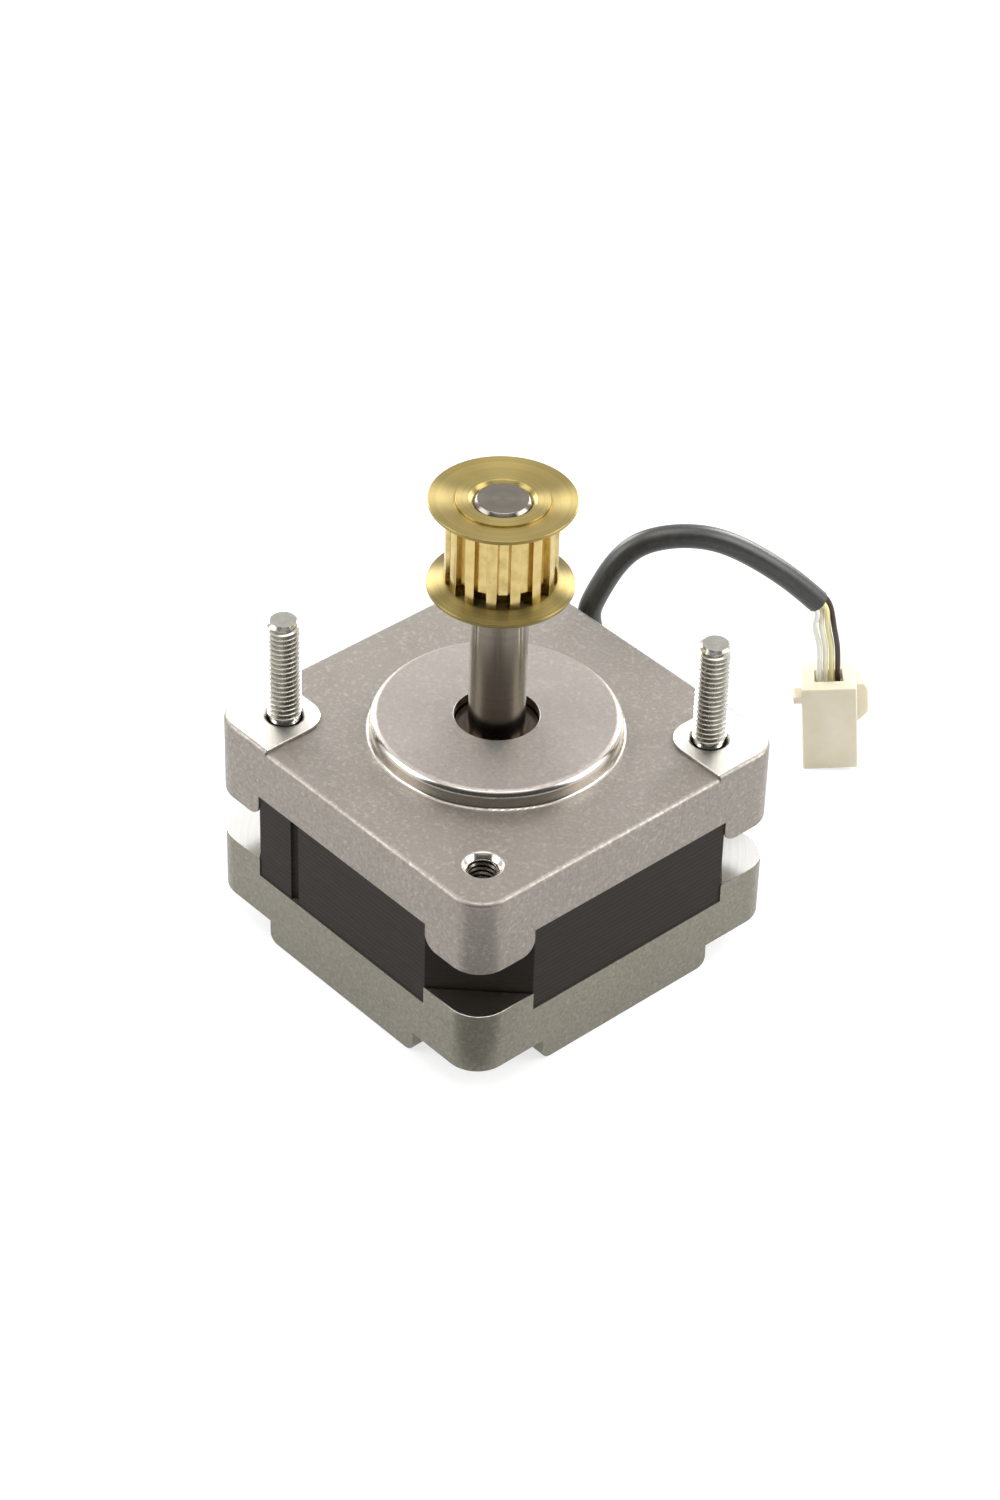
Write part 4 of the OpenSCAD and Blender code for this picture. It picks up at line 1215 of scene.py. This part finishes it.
@dataclass
class Cable:
    """The jacketed cable, its grommet, its four leads and the plug."""

    shelf: FinishShelf
    exit_at: tuple[float, float, float] = (-7.0, 18.6, 3.2)
    inner_end: tuple[float, float, float] = (-7.0, 13.6, 3.2)
    # Stops of the jacket's middle line, measured from the exit.
    steps: tuple[tuple[float, float, float], ...] = (
        (0, -2.6, 0), (0, 0.2, 0), (0, 1.39, 0.16), (0, 2.5, 0.62), (-0.1, 3.45, 1.35),
        (-0.2, 4.18, 2.3), (-0.35, 4.64, 3.41), (-0.55, 4.8, 4.6), (-0.85, 4.6, 6.2),
        (-1.2, 4, 7.7), (-1.55, 3.2, 9.2), (-1.9, 2.35, 10.8), (-2.2, 1.65, 12.4),
        (-2.4, 1.25, 14), (-2.5, 1.2, 15.6), (-2.3, 1.5, 16.9), (-2, 2, 18.2),
        (-1.2, 3.2, 20.8), (-0.3, 4.6, 22.4), (0.8, 6.2, 23.1), (2.2, 8.3, 23.2),
        (3.5, 10.3, 22.7), (5.1, 12.8, 21.2), (6.7, 15.1, 19.2), (8, 17.1, 17.1),
        (9.2, 18.9, 14.9),
    )
    jacket_r: float = 1.1
    bore_r: float = 0.98
    bore_depth: float = 0.4
    lead_r: float = 0.26
    # Where the four leads lie across the cable and the plug, in pitches.
    rows: tuple[float, ...] = (-1.5, -0.5, 0.5, 1.5)
    jacket_pitch: float = 0.44
    contact_pitch: float = 0.57
    plug_at: tuple[float, float] = (3.6, 39.5)
    plug_turn: float = 47.0
    plug_lean: float = 5.0
    plug_w: float = 5.1
    plug_d: float = 4.5
    plug_h: float = 9.3
    mouth_depth: float = 1.2
    # Stops of the leads' middle line, measured from the middle of the plug's top.
    lead_steps: tuple[tuple[float, float, float], ...] = (
        (-0.9, -1.4, 6.3), (-0.7, -0.9, 3.9), (-0.6, -0.7, 1.9),
    )
    # The leads' last two stops; at the second one they lie on the board.
    board_y: tuple[float, float] = (12.5, 11.4)
    board_z: tuple[float, float] = (2.833, 2.26)
    # Fixed directions that no heading meets, from which the rings are turned.
    across: tuple[float, float, float] = (0.8, -0.6, 0.0)
    tail_across: tuple[float, float, float] = (1.0, 0.0, 0.0)
    # The jacket's end is eased this far on both walls, and inside it has the bore's radius from
    # this depth on.
    lip: float = 0.03
    lip_depth: float = 0.02
    # The leads start this far inside the jacket's end.
    lead_start: float = 0.35
    # An edge farther in than these from the plug's sides and top is an inner one.
    plug_wall: float = 0.25
    plug_rim: float = 0.2
    plug_ease: float = 0.14
    # Radius and distance from the inner end, round the grommet's section.
    grommet: tuple[tuple[float, float], ...] = (
        (1.11, 0.0), (1.85, 0.0), (1.85, 4.0), (2.5, 4.0), (2.5, 4.62), (1.9, 5.0),
        (1.3, 5.0), (1.11, 4.8), (1.11, 0.0),
    )
    grommet_round: float = 0.18
    spacing: float = 0.3
    tail_spacing: float = 0.15
    jacket_sides: int = 40
    lead_sides: int = 16
    tail_sides: int = 14
    grommet_sides: int = 72
    made: list[bpy.types.Object] = field(default_factory=list)

    def route(self) -> np.ndarray:
        """List the stops of the jacket's middle line."""
        return np.array([self.inner_end] + [np.add(self.exit_at, s) for s in self.steps])

    def plug_point(self, x: float, y: float, z: float) -> np.ndarray:
        """Carry a point of the plug's own frame to its place.

        The plug leans about its long side, then turns about the upright, and stands on its edge.

        Args:
            x: along the plug's width, in millimetres.
            y: along its depth.
            z: up its height.

        Returns:
            The point.
        """
        lean, turn = math.radians(self.plug_lean), math.radians(self.plug_turn)
        leant = x * math.cos(lean) - z * math.sin(lean)
        return np.array(
            [
                self.plug_at[0] + leant * math.cos(turn) - y * math.sin(turn),
                self.plug_at[1] + leant * math.sin(turn) + y * math.cos(turn),
                self.plug_w / 2 * math.sin(lean) + x * math.sin(lean) + z * math.cos(lean),
            ]
        )

    def in_plug(self, middle: np.ndarray) -> np.ndarray:
        """Pick the edges inside the plug: its slots and the floor of its mouth.

        Args:
            middle: the middles of the edges, in millimetres.

        Returns:
            Whether each one lies farther in than the wall and the rim.
        """
        zero = self.plug_point(0, 0, 0)
        frame_of = np.stack([self.plug_point(*axis) - zero for axis in np.eye(3)])
        x, y, z = frame_of @ (middle - zero).T
        within_w = np.abs(x) < self.plug_w / 2 - self.plug_wall
        within_d = np.abs(y) < self.plug_d / 2 - self.plug_wall
        return within_w & within_d & (z < self.plug_h - self.plug_rim)

    def lead_stops(self, k: int) -> np.ndarray:
        """List the stops of one lead, from inside the jacket's end down into the plug.

        Args:
            k: the lead's number.

        Returns:
            The stops, in millimetres.
        """
        line = self.route()
        end = line[-1]
        along = (end - line[-2]) / np.linalg.norm(end - line[-2])
        beside = np.cross(along, [0, 0, 1])
        beside /= np.linalg.norm(beside)
        above = np.cross(beside, along)
        turn = math.radians(self.plug_turn)
        row = np.array([math.cos(turn), math.sin(turn), 0])
        side = 1 if k % 2 == 0 else -1
        first = end + above * self.rows[k] * self.jacket_pitch + beside * self.lead_r * side
        top = np.array([*self.plug_at, self.plug_h])
        pitch = self.rows[k] * self.contact_pitch
        return np.array(
            [first - along * self.lead_start, first + along * 2 * self.lead_r]
            + [top + s + row * pitch for s in self.lead_steps]
            + [
                self.plug_point(pitch, 0, self.plug_h),
                self.plug_point(pitch, 0, self.plug_h - self.mouth_depth),
            ]
        )

    def tail_stops(self, k: int) -> np.ndarray:
        """List the stops of one lead's inner end, from the jacket to the board.

        Args:
            k: the lead's number.

        Returns:
            The stops, in millimetres.
        """
        side = 1 if k % 2 == 0 else -1
        x = self.inner_end[0]
        start = np.array(
            [
                x + self.rows[k] * self.jacket_pitch,
                self.inner_end[1],
                self.inner_end[2] + side * self.lead_r,
            ]
        )
        fanned = x + self.rows[k] * 3 * self.lead_r
        return np.array(
            [
                start,
                start - [0, 2 * self.lead_r, 0],
                [fanned, self.board_y[0], self.board_z[0]],
                [fanned, self.board_y[1], self.board_z[1]],
            ]
        )

    def build(self) -> None:
        """Build the grommet, both ends of the leads, the plug and the jacket."""
        get = self.shelf.get
        self.build_grommet()
        self.build_tails()
        colours = {
            "lead_white": FinishShelf.LEAD_WHITE,
            "lead_ivory": FinishShelf.LEAD_IVORY,
            "lead_yellow": FinishShelf.LEAD_YELLOW,
            "lead_brown": FinishShelf.LEAD_BROWN,
        }
        for k, (node, finish) in enumerate(colours.items()):
            route = smooth_route(self.lead_stops(k), self.spacing)
            radii = np.full(len(route), self.lead_r)
            surface = tube(route, radii, self.across, self.lead_sides)
            mesh = mesh_of(node + "_insulation", surface)
            self.made.append(
                finished(node + "_insulation", mesh, [get(finish)], node, Body.MOTOR, (node,))
            )
        self.made.append(
            eased(
                "connector_housing",
                "plug_housing",
                [get(FinishShelf.NYLON)],
                "connector_nylon",
                Body.MOTOR,
                self.plug_ease,
                spared=self.in_plug,
            )
        )
        paint(get(FinishShelf.TIN), "connector_contacts")
        self.build_jacket()

    def build_grommet(self) -> None:
        """Turn the rubber grommet: a sleeve in the wall and a rounded collar outside it."""
        profile = softened(list(self.grommet), self.grommet_round)
        surface = turned(profile, self.grommet_sides, Axis.BACK).moved(self.inner_end)
        finished(
            "cable_grommet",
            mesh_of("cable_grommet", surface),
            [self.shelf.get(FinishShelf.RUBBER)],
            "gland_rubber",
            Body.MOTOR,
            ("cable_gland",),
            sharp=50.0,
        )

    def build_tails(self) -> None:
        """Sweep the leads' inner ends down to the board."""
        parts = []
        for k in range(len(self.rows)):
            route = smooth_route(self.tail_stops(k), self.tail_spacing)
            radii = np.full(len(route), self.lead_r)
            parts.append(tube(route, radii, self.tail_across, self.tail_sides))
        finished(
            "lead_inner_ends",
            mesh_of("lead_inner_ends", joined(parts)),
            [self.shelf.get(FinishShelf.LEAD_WHITE)],
            "lead_white",
            Body.MOTOR,
            ("lead_tails",),
        )

    def build_jacket(self) -> None:
        route = smooth_route(self.route(), self.spacing)
        last, before = route[-1], route[-2]
        back = (before - last) / np.linalg.norm(before - last)
        tail = [last, last + back * self.lip_depth, last + back * self.bore_depth]
        radii = [self.bore_r + self.lip, self.bore_r, self.bore_r]
        line = np.vstack([route[:-1], last + back * self.lip, tail])
        sizes = np.r_[np.full(len(route), self.jacket_r), radii]
        heading = np.gradient(line[: len(route)], axis=0)
        heading = np.vstack([heading, np.repeat(heading[-1:], len(tail), axis=0)])
        surface = tube(line, sizes, self.across, self.jacket_sides, heading)
        jacket = finished(
            "cable_sleeve",
            mesh_of("cable_sleeve", surface),
            [self.shelf.get(FinishShelf.JACKET)],
            "jacket",
            Body.MOTOR,
            ("cable_jacket",),
            sharp=50.0,
        )
        tuple(float(c) * MM for c in self.exit_at)
        [tuple(float(c) for c in p) for p in route * MM]


@dataclass
class Caps:
    """The two cast caps, with the front one's boss, pads and tapped corners."""

    shelf: FinishShelf
    face_z: float = 20.7
    boss_r: float = 11.0
    boss_top: float = 22.4
    # The boss's chamfer in the solid, the wider one that it gets here and how that is rounded.
    boss_cut: float = 0.25
    boss_wide_cut: float = 0.45
    boss_round: float = 0.28
    eye_r: float = 3.7
    pad_z: float = 21.0
    lug_z: float = 8.4
    lug_from: float = 11.0
    rear_z: float = 6.6
    half: float = 17.6
    screw_at: float = 13.0
    mouth_r: float = 1.8
    ease: float = 0.12
    boss_steps: int = 4
    # Edges round the boss's foot lie this far outside it, this much either way and this high.
    foot_middle: float = 0.2
    foot_half: float = 0.45
    foot_high: float = 0.5
    # The boss's foot, with its fillet, reaches no farther out than this past its radius.
    foot_reach: float = 0.4
    # The rim's faces lie this near the boss's radius, and their normals rise less than the
    # second value.
    rim_half: float = 0.5
    rim_slope: float = 0.8
    # The mouths' faces lie no deeper than this below the plate, and their normals rise more
    # than the second value.
    mouth_depth: float = 1.0
    mouth_slope: float = 0.2
    # The edges of a rear lug's inner end lie no farther out than this past where it starts, and
    # those under a foot are hidden where they lie this far in from the sides.
    lug_margin: float = 0.3
    sole_inset: float = 2.0
    # How nearly a place has to be met, from rough to fine.
    margin: float = 0.1
    near: float = 0.05
    close: float = 0.02
    thread: Thread = Thread(crest=1.13, root=1.24, low=16.55, high=20.15, sides=32)

    def build(self) -> None:
        """Build the front cap, its threads and the rear cap."""
        get = self.shelf.get
        front = eased(
            "front_cap",
            "front_cap_casting",
            [
                get(FinishShelf.FRONT_CAST),
                get(FinishShelf.RUBBED),
                get(FinishShelf.MILLED),
                get(FinishShelf.RIM),
                get(FinishShelf.SHADED_BORE),
            ],
            "front_cap_alloy",
            Body.MOTOR,
            self.ease,
            spared=self.by_boss,
            softer=(self.by_boss_top, self.boss_round, self.boss_steps),
            moved=self.widen_chamfer,
        )
        pick_faces(front, 1, self.on_boss)
        pick_faces(front, 2, self.on_pad)
        pick_faces(front, 3, self.on_rim)
        pick_faces(front, 3, self.on_mouth)
        # The eye's wall gets the finish darkened with painted shade.
        pick_faces(front, 4, self.in_eye)
        self.build_threads()
        rear = eased(
            "rear_cap",
            "rear_cap_casting",
            [get(FinishShelf.REAR_CAST), get(FinishShelf.LEDGE)],
            "rear_cap_alloy",
            Body.MOTOR,
            self.ease,
            spared=self.by_lug_end,
        )
        pick_faces(rear, 1, self.on_lug)

    def by_boss(self, middle: np.ndarray) -> np.ndarray:
        """Pick the edges round the boss's foot, which the solid already rounds."""
        close_by = np.abs(from_axis(middle) - self.boss_r - self.foot_middle) < self.foot_half
        return close_by & (middle[:, 2] < self.face_z + self.foot_high)

    def by_boss_top(self, middle: np.ndarray) -> np.ndarray:
        """Pick the two edges of the boss's chamfer."""
        reach = self.boss_wide_cut + self.margin
        return (from_axis(middle) > self.boss_r - reach) & (middle[:, 2] > self.boss_top - reach)

    def widen_chamfer(self, points: np.ndarray) -> np.ndarray:
        """Widen the boss's chamfer: its upper ring moves inwards and its lower ring down.

        Args:
            points: the solid's points, in millimetres.

        Returns:
            The points, with those two rings moved.
        """
        far = from_axis(points)
        extra = self.boss_wide_cut - self.boss_cut
        inner = np.abs(far - self.boss_r + self.boss_cut) < self.near
        outer = np.abs(far - self.boss_r) < self.near
        upper = inner & (points[:, 2] > self.boss_top - self.near)
        lower = outer & (np.abs(points[:, 2] - self.boss_top + self.boss_cut) < self.near)
        result = points.copy()
        result[:, :2] *= np.where(upper, 1 - extra / np.maximum(far, extra), 1.0)[:, None]
        result[:, 2] -= np.where(lower, extra, 0.0)
        return result

    def by_lug_end(self, middle: np.ndarray) -> np.ndarray:
        """Pick the edges at the rear lugs' inner ends, and those hidden under the feet.

        Args:
            middle: the middles of the edges, in millimetres.

        Returns:
            Whether each edge is one of them.
        """
        far = np.abs(middle[:, :2])
        end = far.min(axis=1) < self.lug_from + self.lug_margin
        above = middle[:, 2] > self.rear_z + self.margin
        inside = far.max(axis=1) < self.half - self.sole_inset
        return (end & above) | (inside & (middle[:, 2] < self.margin))

    def on_boss(self, centre: np.ndarray, normal: np.ndarray) -> np.ndarray:
        """Pick the faces of the boss: above the plate and no farther out than its foot."""
        inside = from_axis(centre) < self.boss_r + self.foot_reach
        return inside & (centre[:, 2] > self.face_z + self.close)

    def on_rim(self, centre: np.ndarray, normal: np.ndarray) -> np.ndarray:
        """Pick the boss's upright rim and the rounding at its foot."""
        near = np.abs(from_axis(centre) - self.boss_r) < self.rim_half
        return near & (centre[:, 2] > self.face_z + self.close) & (normal[:, 2] < self.rim_slope)

    def on_mouth(self, centre: np.ndarray, normal: np.ndarray) -> np.ndarray:
        """Pick the countersunk mouths of the two tapped corners.

        Args:
            centre: the faces' centres, in millimetres.
            normal: their normals.

        Returns:
            Whether each face is a sloped one near the top of either hole.
        """
        c = self.screw_at
        near_hole = np.hypot(centre[:, 0] - c, centre[:, 1] + c)
        far_hole = np.hypot(centre[:, 0] + c, centre[:, 1] - c)
        sloped = (normal[:, 2] > self.mouth_slope) & (normal[:, 2] < LEVEL)
        at_top = centre[:, 2] > self.face_z - self.mouth_depth
        return sloped & at_top & (np.minimum(near_hole, far_hole) < self.mouth_r)

    def in_eye(self, centre: np.ndarray, normal: np.ndarray) -> np.ndarray:
        """Pick the upright faces no farther from the axis than the eye's wall."""
        return (from_axis(centre) < self.eye_r + self.near) & (np.abs(normal[:, 2]) < UPRIGHT)

    def on_pad(self, centre: np.ndarray, normal: np.ndarray) -> np.ndarray:
        """Pick the level faces at the pads' height, outside the boss."""
        level = (np.abs(centre[:, 2] - self.pad_z) < self.close) & (normal[:, 2] > LEVEL)
        return level & (from_axis(centre) > self.boss_r + self.foot_reach)

    def on_lug(self, centre: np.ndarray, normal: np.ndarray) -> np.ndarray:
        """Pick the level tops of the rear cap's corner lugs."""
        return (centre[:, 2] > self.lug_z - self.near) & (normal[:, 2] > LEVEL)

    def build_threads(self) -> None:
        """Set a thread into each tapped corner."""
        c = self.screw_at
        sleeve = self.thread.inner()
        finished(
            "tapped_threads",
            mesh_of("tapped_threads", joined([sleeve.moved((c, -c, 0)), sleeve.moved((-c, c, 0))])),
            [self.shelf.get(FinishShelf.TAPPED)],
            "front_cap_alloy",
            Body.MOTOR,
        )


@dataclass
class Stator:
    """The lamination stack with its insulators, coils and terminal board."""

    shelf: FinishShelf
    ease: float = 0.06

    def build(self) -> None:
        """Ease the stack's edges and finish what it carries."""
        get = self.shelf.get
        eased(
            "stator_stack",
            "lamination_stack",
            [get(FinishShelf.STACK)],
            "lamination_steel",
            Body.MOTOR,
            self.ease,
            segments=2,
        )
        paint(get(FinishShelf.INSULATOR), "front_insulator", "rear_insulator")
        paint(get(FinishShelf.COPPER), "stator_coils")
        paint(get(FinishShelf.BOARD), "terminal_board")
        paint(get(FinishShelf.TIN), "terminal_pins")


@dataclass
class Screws:
    """The four pan-head screws: two long ones whose ends are the studs, two short ones."""

    shelf: FinishShelf
    at: float = 13.0
    head_top: float = 2.2
    head_low: float = 0.2
    head_r: float = 2.75
    head_round: float = 0.7
    thread_r: float = 1.49
    root_r: float = 1.19
    neck_r: float = 1.34
    stud_from: float = 20.9
    stud_top: float = 31.2
    case_from: float = 13.1
    case_top: float = 16.2
    recess_depth: float = 1.1
    recess_half: float = 0.36
    recess_reach: float = 1.4
    side_slope: float = 0.16
    end_slope: float = 0.7
    # The head's bottom has this many rings up to this radius, for the recess.
    fine_r: float = 1.6
    fine_rings: int = 40
    rim_steps: int = 7
    head_sides: int = 120
    neck_sides: int = 40
    # The neck runs this far into the head and the thread, and ends this much inside the crests.
    overlap: float = 0.1
    neck_end: float = 0.3

    def build(self) -> None:
        """Build both pairs."""
        zinc = [self.shelf.get(FinishShelf.ZINC)]
        c = self.at
        long_one = self.screw(self.stud_from, self.stud_top)
        short_one = self.screw(self.case_from, self.case_top)
        pairs = (
            ("stud_screws", long_one, ((-c, -c, 0), (c, c, 0))),
            ("case_screws", short_one, ((c, -c, 0), (-c, c, 0))),
        )
        for node, surface, places in pairs:
            both = joined([surface.moved(place) for place in places])
            name = node + "_threaded"
            finished(name, mesh_of(name, both), zinc, "zinc_steel", Body.MOTOR, (node,))

    def screw(self, start: float, top: float) -> Surface:
        """Join a head, a plain neck and a threaded end.

        The neck runs a little way into the head and into the thread, where it narrows.

        Args:
            start: height where the thread starts.
            top: height of its end.

        Returns:
            The screw, its axis on the origin.
        """
        low, high = self.head_top - self.overlap, start + self.overlap
        neck = [(0.0, low), (self.neck_r, low), (self.neck_r, start - self.overlap)]
        neck += [(self.thread_r - self.neck_end, high), (0.0, high)]
        thread = Thread(self.thread_r, self.root_r, start, top)
        return joined([self.head(), turned(np.array(neck), self.neck_sides), thread.outer()])

    def head(self) -> Surface:
        """Build the pan head from below, with its cross recess.

        The profile runs from the middle of the bottom, round the rim and over the top to the
        axis. A point x, y of the bottom rises by the recess's depth there: for the arm along x
        that is the smaller of (half width - |y|) / side slope and (reach - |x|) / end slope. For
        the arm along y it is the same with x and y exchanged. The deeper of the two counts, held
        between nought and the full depth.

        Returns:
            The closed head.
        """
        inner = np.linspace(0.0, self.fine_r, self.fine_rings + 1)
        bottom = np.stack([inner, 0 * inner + self.head_low], axis=-1)
        s = np.linspace(0, math.pi / 2, self.rim_steps + 1)
        edge = np.stack(
            [
                self.head_r - self.head_round * (1 - np.sin(s)),
                self.head_low + self.head_round * (1 - np.cos(s)),
            ],
            axis=-1,
        )
        close = np.array([[self.head_r, self.head_top], [0.0, self.head_top]])
        surface = turned(np.concatenate([bottom, edge, close]), self.head_sides)
        x, y, z = np.abs(surface.points[:, 0]), np.abs(surface.points[:, 1]), surface.points[:, 2]
        arm_x, arm_y = (
            np.minimum(
                (self.recess_half - beside) / self.side_slope,
                (self.recess_reach - along) / self.end_slope,
            )
            for along, beside in ((x, y), (y, x))
        )
        depth = np.clip(np.maximum(arm_x, arm_y), 0, self.recess_depth)
        low = z < self.head_low + 1e-6
        points = surface.points.copy()
        points[:, 2] = np.where(low, z + depth, z)
        return Surface(points, surface.faces, surface.unrolled)


@dataclass
class Pulley:
    """The brass pulley: a toothed core between two dished flanges."""

    shelf: FinishShelf
    seat_low: float = 36.9
    seat_high: float = 44.1
    ease: float = 0.05
    flange_round: float = 0.09
    sides: int = 160
    section: tuple[tuple[float, float], ...] = (
        (4.0, 0.0), (4.8, 0.0), (6.3, 0.46), (6.3, 0.8), (4.8, 0.6), (4.0, 0.6), (4.0, 0.0),
    )

    def build(self) -> None:
        """Ease the core's edges and turn both flanges."""
        get = self.shelf.get
        core = eased(
            "pulley_core",
            "pulley_teeth",
            [get(FinishShelf.HOBBED), get(FinishShelf.BRASS)],
            "brass",
            Body.ROTOR,
            self.ease,
            segments=2,
        )
        pick_faces(core, 1, lambda centre, normal: np.abs(normal[:, 2]) > UPRIGHT)
        section = softened(list(self.section), self.flange_round)
        upper = turned(section + [0, self.seat_high], self.sides)
        lower = turned(section * [1, -1] + [0, self.seat_low], self.sides)
        flanges = (
            ("pulley_upper_flange", upper, FinishShelf.BRASS),
            # The lower flange takes the darker copy of the brass, which paints shade on it.
            ("pulley_lower_flange", lower, FinishShelf.SHADED_BRASS),
        )
        for node, surface, brass in flanges:
            name = node + "_turned"
            finished(
                name,
                mesh_of(name, surface),
                [get(brass)],
                "brass",
                Body.ROTOR,
                (node,),
                sharp=50.0,
            )


@dataclass
class Rotor:
    """The shaft with its two toothed cups, magnet and spacers."""

    shelf: FinishShelf
    shaft_r: float = 2.5
    low: float = 0.5
    high: float = 44.9
    chamfer: float = 0.3
    edge_round: float = 0.06
    sides: int = 120

    def build(self) -> None:
        """Turn the shaft and finish what it carries."""
        get = self.shelf.get
        c = self.chamfer
        profile = softened(
            [
                (0.0, self.low), (self.shaft_r - c, self.low), (self.shaft_r, self.low + c),
                (self.shaft_r, self.high - c), (self.shaft_r - c, self.high), (0.0, self.high),
            ],
            self.edge_round,
        )
        finished(
            "shaft_ground",
            mesh_of("shaft_ground", turned(profile, self.sides)),
            [get(FinishShelf.SHAFT)],
            "shaft_steel",
            Body.ROTOR,
            ("shaft",),
            sharp=60.0,
        )
        paint(get(FinishShelf.ROTOR), "front_rotor_cup", "rear_rotor_cup")
        paint(get(FinishShelf.MAGNET), "rotor_magnet")
        paint(get(FinishShelf.SHAFT), "front_spacer", "rear_spacer")


@dataclass
class Bearings:
    """The two ball bearings with their shields, and the spring washer behind the rear one."""

    shelf: FinishShelf

    def build(self) -> None:
        """Finish the races, shields, balls and cages of both bearings, and the washer."""
        get = self.shelf.get
        for end in ("front", "rear"):
            paint(get(FinishShelf.BEARING), f"{end}_outer_race")
            # The inner races and the shields take finishes darkened with painted shade.
            paint(get(FinishShelf.SHADED_RACE), f"{end}_inner_race")
            paint(get(FinishShelf.SHIELD), f"{end}_bearing_shields")
            paint(get(FinishShelf.BALLS), f"{end}_balls", f"{end}_ball_cage")
        paint(get(FinishShelf.ZINC), "preload_washer")


def main() -> None:
    """Set the view, then build and finish every piece in order."""
    logging.basicConfig(level=logging.INFO, format="%(name)s: %(message)s")
    bpy.context.scene.view_settings.view_transform = "Standard"
    shelf = FinishShelf()
    Camera().build()
    Cable(shelf).build()
    Studio().build()
    Caps(shelf).build()
    Stator(shelf).build()
    Screws(shelf).build()
    Pulley(shelf).build()
    Rotor(shelf).build()
    Bearings(shelf).build()


if __name__ == "__main__":
    main()
